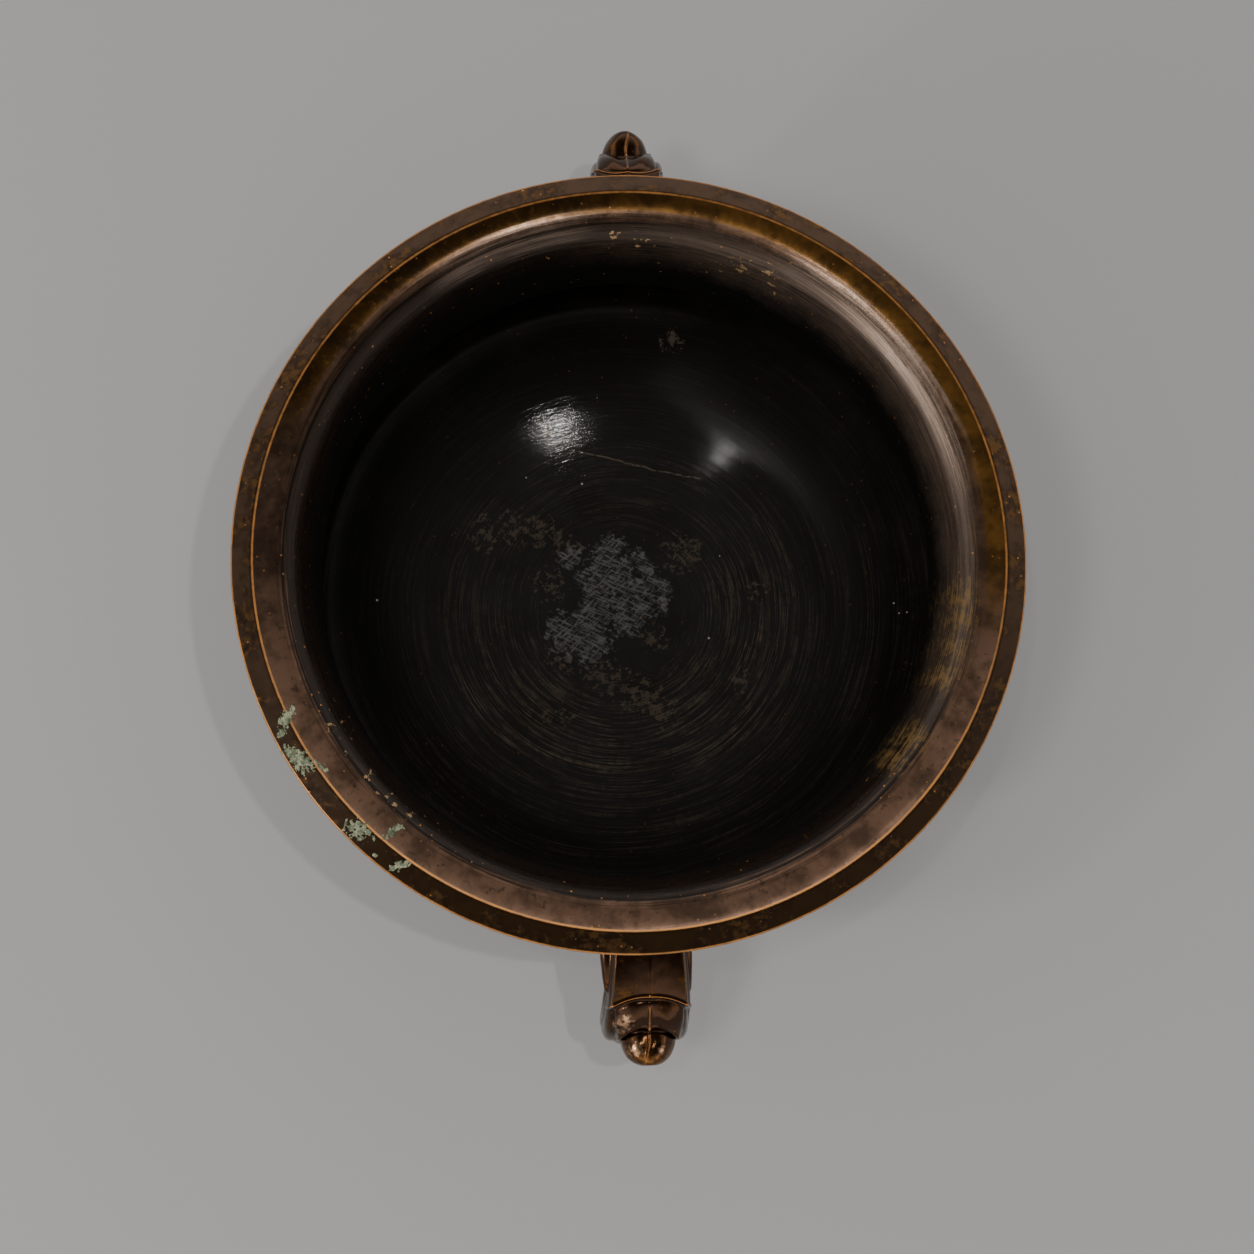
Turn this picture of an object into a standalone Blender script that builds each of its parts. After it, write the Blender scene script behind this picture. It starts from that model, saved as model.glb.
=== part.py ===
"""Cast bronze ritual bowl: everted lip, swelling body, spreading foot ring and two loop handles with beast heads.

Metres, +Z up. The origin is on the ground under the middle of the foot ring, and the handles point along -Y and +Y.
"""

import math

import bmesh
import bpy

# The bowl, turned about Z
overall_height = 0.0775  # ground to the crest of the lip
rim_radius = 0.0800  # outermost edge of the lip
crest_inset = 0.0043  # the crest line lies this far inside that edge
lip_fall = 0.0023  # and the lip falls this much from the crest to that edge
lip_edge_height = 0.0030  # the rounded outer edge, top to underside
lip_edge_tuck = 0.0012  # how far the underside starts inside the edge
throat_radius = 0.0632  # narrowest place inside the mouth
throat_depth = 0.0208  # below the crest
wall = 0.0034
belly_radius = 0.0705  # widest place of the inside
belly_depth = 0.0415  # below the crest
bowl_depth = 0.0637  # crest to the middle of the floor
floor_thickness = 0.0038

# The foot ring
foot_radius = 0.0565  # at the ground
foot_waist_radius = 0.0505  # where it leaves the body
foot_thickness = 0.0040
foot_edge_height = 0.0028  # the upright edge that stands on the ground
foot_chamfer = 0.0005

# The handles. A reach is measured past the rim's edge, and a drop below the level of that edge
handle_offset = 0.0024  # both stand this far towards +X from the bowl's middle plane, as cast
arm_drop = 0.0120  # top of the handle at the neck
arm_depth = 0.0095
hood_reach = 0.0076
hood_drop = 0.0184
brow_reach = 0.0134
brow_drop = 0.0247
nose_reach = 0.0210
nose_drop = 0.0290
step_reach = 0.0007  # each form of the head steps in under the edge of the one above it
step_drop = 0.0013
edge_bow = 0.0018  # the sides of each edge run this much further out than its middle
keel_height = 0.0003  # the thin ridge along the middle of the head
chin_drop = 0.0385
hood_half_width = 0.0079
hood_root_half_width = 0.0062
brow_half_width = 0.0065
brow_end_half_width = 0.0060
nose_half_width = 0.0051
cheek_flare = 0.0013  # the head is this much wider each side low on its cheeks than at its roof
nose_flare = 0.0002  # the same along the nose, which is nearly upright at its sides
loop_reach = 0.0124  # middle of the loop's bar at its furthest
loop_top_drop = 0.0195
loop_bottom_drop = 0.0535
loop_start_radius = 0.0700  # the loop is half an oval whose ends are this far from the axis
loop_half_thickness = 0.0042
loop_half_width = 0.0094
loop_end_half_width = 0.0068

# How finely the curves are cut
segments = 64
slope_steps = 7
neck_steps = 6
dish_steps = 10
underside_steps = 5
edge_steps = 3
loop_steps = 14
hood_steps = 5
brow_steps = 4
nose_steps = 5

SLOPE_POWER = 2.6  # over 2: the lip stays nearly level inside its crest, then turns down fast
DISH_POWER = 2.25  # over 2: the floor is flatter than an oval's
TIP_RADIUS = 0.0002  # the nose closes on a ring this small

edge_level = overall_height - lip_fall
throat_level = overall_height - throat_depth
belly_level = overall_height - belly_depth
floor_level = overall_height - bowl_depth
base_level = floor_level - floor_thickness
neck_radius = throat_radius + wall


def between(start, end, share):
    return start + (end - start) * share


def quarter(level_end, upright_end, power, steps):
    """Points of a quarter of an oval, from its level end to its upright end. A power over 2 squares it."""
    points = []
    for step in range(steps + 1):
        turn = math.pi / 2 * step / steps
        across = math.sin(turn) ** (2 / power)
        up = math.cos(turn) ** (2 / power)
        points.append(
            (between(level_end[0], upright_end[0], across), between(upright_end[1], level_end[1], up))
        )
    return points


def throat_to_belly(grow):
    """The shell from the throat down to the belly, moved outwards by grow."""
    points = []
    for step in range(1, neck_steps + 1):
        share = step / neck_steps
        swell = (1 - math.cos(math.pi * share)) / 2
        points.append(
            (between(throat_radius, belly_radius, swell) + grow, between(throat_level, belly_level, share))
        )
    return points


def dish(grow, lowest, first, last, steps):
    """The dish between two of its radii, the belly's radius being its widest. At the axis it reaches lowest."""
    widest = belly_radius + grow
    start = math.acos((first / widest) ** (DISH_POWER / 2))
    end = math.acos((last / widest) ** (DISH_POWER / 2))
    points = []
    for step in range(steps + 1):
        turn = between(start, end, step / steps)
        fall = math.sin(turn) ** (2 / DISH_POWER)
        points.append((widest * math.cos(turn) ** (2 / DISH_POWER), between(belly_level, lowest, fall)))
    if last == 0.0:
        points[-1] = (0.0, lowest)
    return points


def inside_profile():
    """From the crest over the lip's inner slope, through the throat and belly, to the middle of the floor."""
    crest = (rim_radius - crest_inset, overall_height)
    slope = quarter(crest, (throat_radius, throat_level), SLOPE_POWER, slope_steps)
    return slope + throat_to_belly(0.0) + dish(0.0, floor_level, belly_radius, 0.0, dish_steps)[1:]


def outside_profile():
    """From under the crest over the lip's edge, in to the neck, out over the body, round the foot to the axis."""
    rounding = []
    for step in range(edge_steps + 1):
        turn = math.pi / 2 * step / edge_steps
        tuck = lip_edge_tuck * (1 - math.cos(turn))
        rounding.append((rim_radius - tuck, edge_level - lip_edge_height * math.sin(turn)))
    under_lip = quarter(rounding[-1], (neck_radius, throat_level), 2.0, slope_steps)
    body = dish(wall, base_level, belly_radius + wall, foot_waist_radius, neck_steps)
    underside = dish(wall, base_level, foot_waist_radius - foot_thickness, 0.0, underside_steps)
    flare = []
    for step in range(1, edge_steps + 2):
        share = step / (edge_steps + 1)
        flare.append(
            (between(foot_waist_radius, foot_radius, share**2), between(body[-1][1], foot_edge_height, share))
        )
    foot = [
        (foot_radius, foot_chamfer),
        (foot_radius - foot_chamfer, 0.0),
        (foot_radius - foot_thickness, 0.0),
    ]
    return rounding + under_lip[1:] + throat_to_belly(wall) + body[1:] + flare + foot + underside


def turned(name, profile):
    """A closed solid turned about Z from a profile whose ends lie on the axis."""
    mesh = bpy.data.meshes.new(name)
    shape = bmesh.new()
    rings = []
    for radius, level in profile:
        if radius == 0.0:
            rings.append([shape.verts.new((0.0, 0.0, level))])
            continue
        ring = []
        for step in range(segments):
            turn = 2 * math.pi * step / segments
            ring.append(shape.verts.new((radius * math.cos(turn), radius * math.sin(turn), level)))
        rings.append(ring)
    for upper, lower in zip(rings, rings[1:]):
        for step in range(segments):
            following = (step + 1) % segments
            corners = [upper[step % len(upper)], lower[step % len(lower)]]
            if len(lower) > 1:
                corners.append(lower[following])
            if len(upper) > 1:
                corners.append(upper[following])
            shape.faces.new(corners)
    return finished(name, mesh, shape)


def skinned(name, rings):
    """A closed solid through rings of points, each with as many points as the next, with flat ends."""
    mesh = bpy.data.meshes.new(name)
    shape = bmesh.new()
    loops = [[shape.verts.new(point) for point in ring] for ring in rings]
    for first, second in zip(loops, loops[1:]):
        for step in range(len(first)):
            following = (step + 1) % len(first)
            shape.faces.new((first[step], first[following], second[following], second[step]))
    shape.faces.new(loops[0][::-1])
    shape.faces.new(loops[-1])
    return finished(name, mesh, shape)


def finished(name, mesh, shape):
    """Turns a bmesh into a smooth-shaded object with its faces pointing out."""
    bmesh.ops.recalc_face_normals(shape, faces=shape.faces)
    shape.to_mesh(mesh)
    shape.free()
    mesh.shade_smooth()
    mesh.set_sharp_from_angle(angle=math.radians(32))
    made = bpy.data.objects.new(name, mesh)
    bpy.context.scene.collection.objects.link(made)
    return made


def head_section(reach, top, under, roof, flare, crown, bow):
    """One ring across the head: keel, roof falling by the crown's share, two mouldings a side, underside."""
    depth = top - under
    cheek = roof + flare
    side = [
        (0.16 * roof, 0.03),
        (0.62 * roof, 0.35 * crown),
        (roof, crown),
        (0.95 * roof, crown + 0.10),
        (between(roof, cheek, 0.60), between(crown, 1.0, 0.30)),
        (between(roof, cheek, 0.40), between(crown, 1.0, 0.44)),
        (cheek, between(crown, 1.0, 0.62)),
        (0.72 * cheek, 0.95),
    ]
    half = [(0.0, top + keel_height)]
    half += [(across, top - depth * share) for across, share in side]
    half.append((0.0, under))
    mirrored = [(-across, level) for across, level in half[-2:0:-1]]
    return [
        (across, -(reach + bow * min(1.0, abs(across) / roof) ** 2), level) for across, level in half + mirrored
    ]


def head_rings():
    """Rings from inside the wall out over the hood, the brow and the nose, each form stepping in under the last."""
    root = throat_radius - wall
    arm_top = edge_level - arm_drop
    under_arm = arm_top - arm_depth
    hood_top = edge_level - hood_drop
    brow_top = edge_level - brow_drop
    nose_top = edge_level - nose_drop
    chin = edge_level - chin_drop
    rings = [head_section(root, arm_top, under_arm, hood_root_half_width, cheek_flare, 0.24, 0.0)]
    hood_end = rim_radius + hood_reach
    for step in range(hood_steps):
        share = step / (hood_steps - 1)
        rings.append(
            head_section(
                between(neck_radius + wall, hood_end, share),
                between(arm_top, hood_top, share**2),
                between(under_arm, chin, 0.60 * share**3),
                between(hood_root_half_width, hood_half_width, share),
                between(cheek_flare, cheek_flare / 2, share),
                0.24,
                edge_bow * share,
            )
        )
    brow_start = hood_end + step_reach
    brow_end = rim_radius + brow_reach
    for step in range(brow_steps):
        share = step / (brow_steps - 1)
        rings.append(
            head_section(
                between(brow_start, brow_end, share),
                between(hood_top - step_drop, brow_top, share**1.4),
                between(between(under_arm, chin, 0.66), chin, share),
                between(brow_half_width, brow_end_half_width, share**2),
                cheek_flare,
                0.30,
                edge_bow,
            )
        )
    nose_start = brow_end + step_reach
    nose_end = rim_radius + nose_reach
    for step in range(nose_steps):
        turn = math.pi / 2 * step / (nose_steps - 1)
        closing = math.cos(turn) if step < nose_steps - 1 else 0.0
        rings.append(
            head_section(
                between(nose_start, nose_end, math.sin(turn)),
                between(nose_top + TIP_RADIUS, brow_top - step_drop, closing),
                between(nose_top - TIP_RADIUS, chin, closing),
                max(TIP_RADIUS, nose_half_width * closing**0.6),
                nose_flare * closing,
                0.40,
                0.0,
            )
        )
    return rings


def loop_rings():
    """Rings of the loop's bar: out of the neck, round the outside and back into the belly."""
    middle_level = edge_level - (loop_top_drop + loop_bottom_drop) / 2
    half_height = (loop_bottom_drop - loop_top_drop) / 2
    half_length = rim_radius + loop_reach - loop_start_radius
    root = throat_radius - wall
    path = [(root, middle_level + half_height, 0.0)]
    for step in range(loop_steps + 1):
        turn = math.pi * step / loop_steps
        path.append(
            (
                loop_start_radius + half_length * math.sin(turn),
                middle_level + half_height * math.cos(turn),
                math.sin(turn) ** 1.5,
            )
        )
    path.append((root, middle_level - half_height, 0.0))
    rings = []
    for place, (reach, level, spread) in enumerate(path):
        before = path[max(place - 1, 0)]
        after = path[min(place + 1, len(path) - 1)]
        along = math.hypot(after[0] - before[0], after[1] - before[1])
        outward = (-(after[1] - before[1]) / along, (after[0] - before[0]) / along)
        half_width = between(loop_end_half_width, loop_half_width, spread)
        side = [
            (0.0, 1.0),
            (0.62, 0.94),
            (0.90, 0.60),
            (0.93, 0.22),
            (1.00, -0.15),
            (0.84, -0.70),
            (0.45, -1.0),
        ]
        side += [(-across, out) for across, out in side[:0:-1]]
        ring = []
        for across, out in side:
            lift = loop_half_thickness * out
            ring.append((half_width * across, -(reach + outward[0] * lift), level + outward[1] * lift))
        rings.append(ring)
    return rings


def boolean(target, operation, other):
    modifier = target.modifiers.new(f"{operation.lower()} {other.name}", "BOOLEAN")
    modifier.operation = operation
    modifier.object = other
    modifier.solver = "EXACT"


def helper(made):
    """Marks an object as a guide or cutter, which is no piece of the bowl."""
    made.hide_render = True
    made.display_type = "WIRE"
    return made


def wall_middle():
    """A cutter that fills the bowl to the middle of its wall, so that no handle's root comes through."""
    inside = wall / 2
    level_above = overall_height + wall
    profile = [(0.0, level_above), (neck_radius, level_above), (throat_radius + inside, throat_level)]
    middle_of_floor = floor_level - floor_thickness / 2
    profile += throat_to_belly(inside) + dish(inside, middle_of_floor, belly_radius + inside, 0.0, dish_steps)[1:]
    return helper(turned("wall_middle", profile))


def handle(name, turn, cutter):
    """One handle: the beast's head over the loop's bar, cut off inside the bowl's wall."""
    loop = helper(skinned(f"{name}_loop", loop_rings()))
    head = helper(skinned(name, head_rings()))
    for made in (loop, head):
        made.location = (handle_offset, 0.0, 0.0)
        made.rotation_euler = (0.0, 0.0, turn)
    boolean(head, "UNION", loop)
    boolean(head, "DIFFERENCE", cutter)
    return head


def bronze():
    material = bpy.data.materials.new("patinated_bronze")
    material.use_nodes = True
    shader = material.node_tree.nodes["Principled BSDF"]
    shader.inputs["Base Color"].default_value = (0.115, 0.062, 0.032, 1.0)
    shader.inputs["Metallic"].default_value = 0.9
    shader.inputs["Roughness"].default_value = 0.38
    return material


def main():
    for old in list(bpy.data.objects):
        bpy.data.objects.remove(old)
    bowl = turned("ritual_bowl", inside_profile()[::-1] + outside_profile())
    bowl.data.materials.append(bronze())
    cutter = wall_middle()
    boolean(bowl, "UNION", handle("handle_front", 0.0, cutter))
    boolean(bowl, "UNION", handle("handle_back", math.pi, cutter))


main()
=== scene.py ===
"""Cast bronze ritual bowl, finished: turned grooves, carved handles, patina, verdigris and a plain studio.

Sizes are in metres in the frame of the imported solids: the origin is on the ground under the middle of the bowl,
+Z is up, and the handles lie along -Y and +Y.
"""

import math

import bmesh
import bpy
import numpy as np
from mathutils import Matrix, Vector, noise


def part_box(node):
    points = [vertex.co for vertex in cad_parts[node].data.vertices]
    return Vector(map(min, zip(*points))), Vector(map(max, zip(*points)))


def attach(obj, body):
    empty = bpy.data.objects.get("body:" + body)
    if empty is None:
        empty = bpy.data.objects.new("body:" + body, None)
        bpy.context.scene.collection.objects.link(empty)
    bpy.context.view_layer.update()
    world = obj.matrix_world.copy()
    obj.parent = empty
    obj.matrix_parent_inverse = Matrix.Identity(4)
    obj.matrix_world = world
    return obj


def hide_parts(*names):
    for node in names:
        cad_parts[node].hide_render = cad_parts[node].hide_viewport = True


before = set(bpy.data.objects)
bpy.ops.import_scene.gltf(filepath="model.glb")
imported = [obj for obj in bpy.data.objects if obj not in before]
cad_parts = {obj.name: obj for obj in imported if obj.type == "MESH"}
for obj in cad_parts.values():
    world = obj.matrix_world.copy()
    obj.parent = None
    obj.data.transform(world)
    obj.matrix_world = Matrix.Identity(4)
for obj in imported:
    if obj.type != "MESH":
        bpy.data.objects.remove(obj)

bl_info = {
    "name": "Ritual bowl",
    "version": (1, 0, 0),
    "blender": (4, 5, 0),
    "location": "View3D > Sidebar > Ritual bowl",
    "description": "Makes the finished bronze bowl, its verdigris and its studio",
    "category": "Add Mesh",
}

NODE = "ritual_bowl"
CAD_LOW, CAD_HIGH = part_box(NODE)
MM = 0.001
TINY = 1e-12  # keeps a division by a length from failing

SLOPE_POWER = 2.6  # over 2: the lip stays nearly level inside its crest, then turns down fast
DISH_POWER = 2.25  # over 2: the floor is flatter than an oval's

# Spacing of the turned body's rings: at an arris, and at most inside and outside
ARRIS_STEP = 0.13 * MM
INSIDE_STEP = 0.46 * MM
OUTSIDE_STEP = 1.15 * MM

WAVER_WAVES = 22.0  # waves of the casting's waver to a metre

# Where one finish gives way to the next, in millimetres from the crest along the outline
FLOOR_FINISH_START = 34.0  # inwards, past the throat
OUTSIDE_FINISH_START = 6.6  # outwards, past the lip's edge

# How strongly a convex or a hollow edge curves, per metre, where its wear and, on the handles, painted highlight,
# and its painted shade in the hollows start and are full
WORN_CURVES = (420.0, 1500.0)
SUNKEN_CURVES = (150.0, 900.0)


# Sizes and colours


def length(name, description, default):
    return bpy.props.FloatProperty(
        name=name, description=description, default=default, min=0.0, precision=5, subtype="DISTANCE",
        unit="LENGTH",
    )


def colour(name, description, default):
    return bpy.props.FloatVectorProperty(
        name=name, description=description, default=default, size=3, min=0.0, max=1.0, subtype="COLOR"
    )


def amount(name, description, default, largest=1.0):
    return bpy.props.FloatProperty(name=name, description=description, default=default, min=0.0, max=largest)


def turn_in_degrees(name, description, degrees):
    return bpy.props.FloatProperty(
        name=name, description=description, default=math.radians(degrees), subtype="ANGLE"
    )


class BowlSizes(bpy.types.PropertyGroup):
    """Sizes of the turned body and its foot ring"""

    height: length("Height", "Ground to the crest of the lip", CAD_HIGH.z)
    rim_radius: length("Rim radius", "Outermost edge of the lip", CAD_HIGH.x)
    crest_inset: length("Crest inset", "How far inside the edge the crest line lies", 0.0043)
    lip_fall: length("Lip fall", "How far the lip falls from its crest to its edge", 0.0023)
    lip_edge_height: length("Lip edge", "Height of the rounded outer edge", 0.0030)
    lip_edge_tuck: length("Lip edge tuck", "How far the underside starts inside the edge", 0.0012)
    throat_radius: length("Throat radius", "Narrowest place inside the mouth", 0.0632)
    throat_depth: length("Throat depth", "Throat below the crest", 0.0208)
    wall: length("Wall", "Thickness of the casting", 0.0034)
    belly_radius: length("Belly radius", "Widest place of the inside", 0.0705)
    belly_depth: length("Belly depth", "Belly below the crest", 0.0415)
    bowl_depth: length("Bowl depth", "Crest to the middle of the floor", 0.0637)
    floor_thickness: length("Floor thickness", "Thickness in the middle of the floor", 0.0038)
    foot_radius: length("Foot radius", "Foot ring at the ground", 0.0565)
    foot_waist_radius: length("Foot waist radius", "Foot ring where it leaves the body", 0.0505)
    foot_thickness: length("Foot thickness", "Thickness of the foot ring", 0.0040)
    foot_edge_height: length("Foot edge", "Upright edge that stands on the ground", 0.0028)
    arris_softness: length("Arris softness", "Radius to which worn edges are rounded", 0.00022)
    turning_depth: length("Turning depth", "Height of the ridges left by turning the inside", 0.000012)
    casting_waver: length("Casting waver", "How far the cast surface strays from true", 0.00010)


class HandleSizes(bpy.types.PropertyGroup):
    """Sizes of the two beast-head handles. Reaches are past the rim's edge, drops below its level"""

    offset: length("Offset", "Distance of both handles from the bowl's middle plane, towards +X", 0.0024)
    arm_drop: length("Arm drop", "Top of the handle at the neck", 0.0120)
    arm_depth: length("Arm depth", "Depth of the handle at the neck", 0.0095)
    hood_reach: length("Hood reach", "Front edge of the hood", 0.0076)
    hood_drop: length("Hood drop", "Front edge of the hood", 0.0184)
    brow_reach: length("Brow reach", "Front edge of the brow", 0.0134)
    brow_drop: length("Brow drop", "Front edge of the brow", 0.0247)
    nose_reach: length("Nose reach", "Tip of the nose", CAD_HIGH.y - CAD_HIGH.x)
    nose_drop: length("Nose drop", "Tip of the nose", 0.0290)
    step_reach: length("Step reach", "Run of the step under each form's edge", 0.0007)
    step_drop: length("Step drop", "Fall of the step under each form's edge", 0.0013)
    edge_bow: length("Edge bow", "How far the sides of an edge run past its middle", 0.0018)
    chin_drop: length("Chin drop", "Underside of the head", 0.0385)
    hood_half_width: length("Hood half width", "At its front edge", 0.0077)
    hood_root_half_width: length("Hood root half width", "At the neck", 0.0062)
    brow_half_width: length("Brow half width", "Under the hood's edge", 0.0070)
    brow_end_half_width: length("Brow end half width", "At its front edge", 0.0060)
    nose_half_width: length("Nose half width", "Under the brow's edge", 0.0058)
    cheek_flare: length("Cheek flare", "Extra half width low on the cheeks", 0.0013)
    loop_reach: length("Loop reach", "Middle of the loop's bar at its furthest", 0.0124)
    loop_top_drop: length("Loop top", "Middle of the bar at the top", 0.0195)
    loop_bottom_drop: length("Loop bottom", "Middle of the bar at the bottom", 0.0535)
    loop_start_radius: length("Loop start radius", "Where the half oval's ends lie", 0.0700)
    loop_half_thickness: length("Loop half thickness", "Half the bar's thickness", 0.0042)
    loop_half_width: length("Loop half width", "Half the bar's width at its furthest", 0.0095)
    loop_end_half_width: length("Loop end half width", "Half the bar's width at the body", 0.0068)
    loop_lean: bpy.props.FloatProperty(
        name="Loop lean", description="How far the loop stands to one side of the head", default=-0.00045,
        precision=5, subtype="DISTANCE", unit="LENGTH",
    )
    back_width: amount("Back width", "Width of the back handle, as a share of the front one's", 0.90, 1.2)
    root_flare: length("Root flare", "How far the roots spread against the body", 0.0012)
    ridge_height: length("Ridge height", "The ridge along the middle of the head", 0.00030)
    bead_height: length("Bead height", "The raised border of the hood and the brow", 0.00028)


class BowlFinish(bpy.types.PropertyGroup):
    """Colours of the patina, of worn bronze and of verdigris"""

    floor_colour: colour("Floor", "Blackened floor of the bowl", (0.0480, 0.0460, 0.0425))
    # Painted shade: the black round the throat and at the floor's outer ring; also the dark blotches and streaks
    # of the patina
    painted_shade_and_patina_colour: colour("Throat", "Blackest part, round the throat", (0.0095, 0.0087, 0.0076))
    neck_colour: colour("Neck", "Brown of the slope inside the crest", (0.088, 0.050, 0.032))
    # Painted light: the slope's paler brown on the side towards the lamps
    lit_side_painted_colour: colour("Satin", "Paler brown of the slope on its lit side", (0.138, 0.094, 0.068))
    # Painted highlight: the pale patches where the glints fall on the slope
    painted_glint_colour: colour("Polished", "Palest part of the slope", (0.400, 0.285, 0.215))
    amber_colour: colour("Amber", "Amber lacquer-like patina by the crest", (0.064, 0.030, 0.0072))
    lip_colour: colour("Lip", "Outer slope of the lip", (0.078, 0.044, 0.026))
    lip_front_colour: colour("Lip front", "Outer slope of the lip by the front handle", (0.044, 0.021, 0.007))
    body_colour: colour("Body", "Outside of the body and the foot", (0.060, 0.037, 0.026))
    head_colour: colour("Head", "Dark bronze of the handles", (0.070, 0.036, 0.021))
    nose_colour: colour("Nose", "Golden brown where the handles are rubbed", (0.215, 0.092, 0.026))
    arris_colour: colour("Arrises", "Bright lines of the lip's two edges", (0.86, 0.37, 0.110))
    # Rubbed bronze; on the handles' arrises it also stands in as painted highlight lines
    wear_and_glint_colour: colour("Worn bronze", "Rubbed edges", (0.58, 0.240, 0.072))
    gold_colour: colour("Gold", "Worn through to gold on the slope", (0.300, 0.175, 0.058))
    dust_colour: colour("Dust", "Grey-brown tool marks and scratches", (0.165, 0.125, 0.088))
    ash_colour: colour("Ash", "Scratched patch in the middle of the floor", (0.240, 0.230, 0.215))
    verdigris_colour: colour("Verdigris", "Pale green crust", (0.60, 0.62, 0.39))
    verdigris_dark_colour: colour("Verdigris hollows", "Green in the hollows of the crust", (0.10, 0.15, 0.09))
    speck_colour: colour("Specks", "Pale specks on the floor", (0.75, 0.75, 0.70))
    blotch_colour: colour("Amber blotches", "Blotches in the amber by the crest", (0.19, 0.085, 0.018))
    tan_colour: colour("Tan flecks", "Flecks where the slope is rubbed through", (0.52, 0.33, 0.15))
    rubbed_lip_colour: colour("Rubbed lip", "Paler places on the lip's outer slope", (0.17, 0.082, 0.024))
    # Painted highlight: pale spots on the front head's brow and nose
    painted_head_glint_colour: colour("Rubbed head", "Pale rubbed places on the front head", (0.72, 0.43, 0.24))
    # Painted shade: the hollows of the handles are made nearly black
    hollow_shade_colour: colour("Hollows", "Dirt in the hollows of the handles", (0.003, 0.0022, 0.0018))
    crust_height: length("Crust height", "How far the verdigris stands proud", 0.00022)


class StudioSettings(bpy.types.PropertyGroup):
    """Floor, lights and camera"""

    floor_colour: colour("Floor", "Plain pale floor", (0.80, 0.79, 0.78))
    box_power: bpy.props.FloatProperty(
        name="Soft box power", description="Shared out over the soft boxes", default=3.0, unit="POWER"
    )
    box_scale: amount("Soft box scale", "Makes all soft boxes larger or smaller", 1.0, 10.0)
    box_distance: length("Soft box distance", "From the middle of the bowl", 1.0)
    air_colour: colour("Surroundings", "Tint of the light from all round", (1.0, 0.985, 0.965))
    zenith_light: amount("Overhead light", "Strength of the surroundings overhead", 0.10, 10.0)
    horizon_light: amount("Side light", "Strength of the surroundings at the horizon", 1.3, 10.0)
    lens: bpy.props.FloatProperty(name="Lens", description="Focal length in mm", default=71.77, min=1.0)
    camera_distance: length("Camera distance", "From the point aimed at", 0.4988)
    camera_azimuth: turn_in_degrees("Azimuth", "Heading of the camera from +Y towards +X", 14.0)
    camera_elevation: turn_in_degrees("Elevation", "Height of the camera above the horizon", 79.244)
    camera_roll: turn_in_degrees("Roll", "Turn of the camera about its view", 12.759)
    aim: bpy.props.FloatVectorProperty(
        name="Aim", description="Point aimed at, at the level of the lip's edge",
        default=(-0.00120, -0.01493, 0.0752), size=3, subtype="TRANSLATION", unit="LENGTH",
    )


# Curves and meshes


def between(start, end, share):
    """The value that lies this share of the way from start to end."""
    return start + (end - start) * share


def smooth_step(value, low, high):
    """0 up to low and 1 from high on, eased between."""
    share = np.clip((value - low) / (high - low), 0.0, 1.0)
    return share * share * (3.0 - 2.0 * share)


def bump_at(value, centre, width):
    """A bell of unit height round the centre."""
    return np.exp(-(((value - centre) / width) ** 2))


def quarter(level_end, upright_end, power, steps=48):
    """Points of a quarter of an oval, from its level end to its upright end. A power over 2 squares it."""
    turn = np.linspace(0.0, math.pi / 2, steps + 1)
    across, up = np.sin(turn) ** (2 / power), np.cos(turn) ** (2 / power)
    return np.stack(
        [between(level_end[0], upright_end[0], across), between(upright_end[1], level_end[1], up)], axis=1
    )


def swell(start, end, steps=40):
    """Points from one place to another below it, level with neither, easing in and out across."""
    share = np.linspace(0.0, 1.0, steps + 1)[1:]
    eased = (1 - np.cos(math.pi * share)) / 2
    return np.stack([between(start[0], end[0], eased), between(start[1], end[1], share)], axis=1)


def dish(widest, belly_level, lowest, first, last, steps=80):
    """The dish between two of its radii. At the axis it reaches lowest."""
    ends = [math.acos(min(1.0, (radius / widest) ** (DISH_POWER / 2))) for radius in (first, last)]
    turn = np.linspace(ends[0], ends[1], steps + 1)
    radius = widest * np.maximum(np.cos(turn), 0.0) ** (2 / DISH_POWER)
    points = np.stack([radius, between(belly_level, lowest, np.sin(turn) ** (2 / DISH_POWER))], axis=1)
    if last == 0.0:
        points[-1] = (0.0, lowest)
    return points


def levels(sizes):
    """Heights above the ground that the outlines share: edge, throat, belly, floor and underside."""
    return (
        sizes.height - sizes.lip_fall,
        sizes.height - sizes.throat_depth,
        sizes.height - sizes.belly_depth,
        sizes.height - sizes.bowl_depth,
        sizes.height - sizes.bowl_depth - sizes.floor_thickness,
    )


def inside_outline(sizes):
    """From the middle of the floor up through the belly and throat to the crest."""
    _, throat, belly, floor, _ = levels(sizes)
    crest = (sizes.rim_radius - sizes.crest_inset, sizes.height)
    slope = quarter(crest, (sizes.throat_radius, throat), SLOPE_POWER)
    neck = swell((sizes.throat_radius, throat), (sizes.belly_radius, belly))
    bottom = dish(sizes.belly_radius, belly, floor, sizes.belly_radius, 0.0)
    return np.concatenate([slope, neck, bottom[1:]])[::-1]


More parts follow.
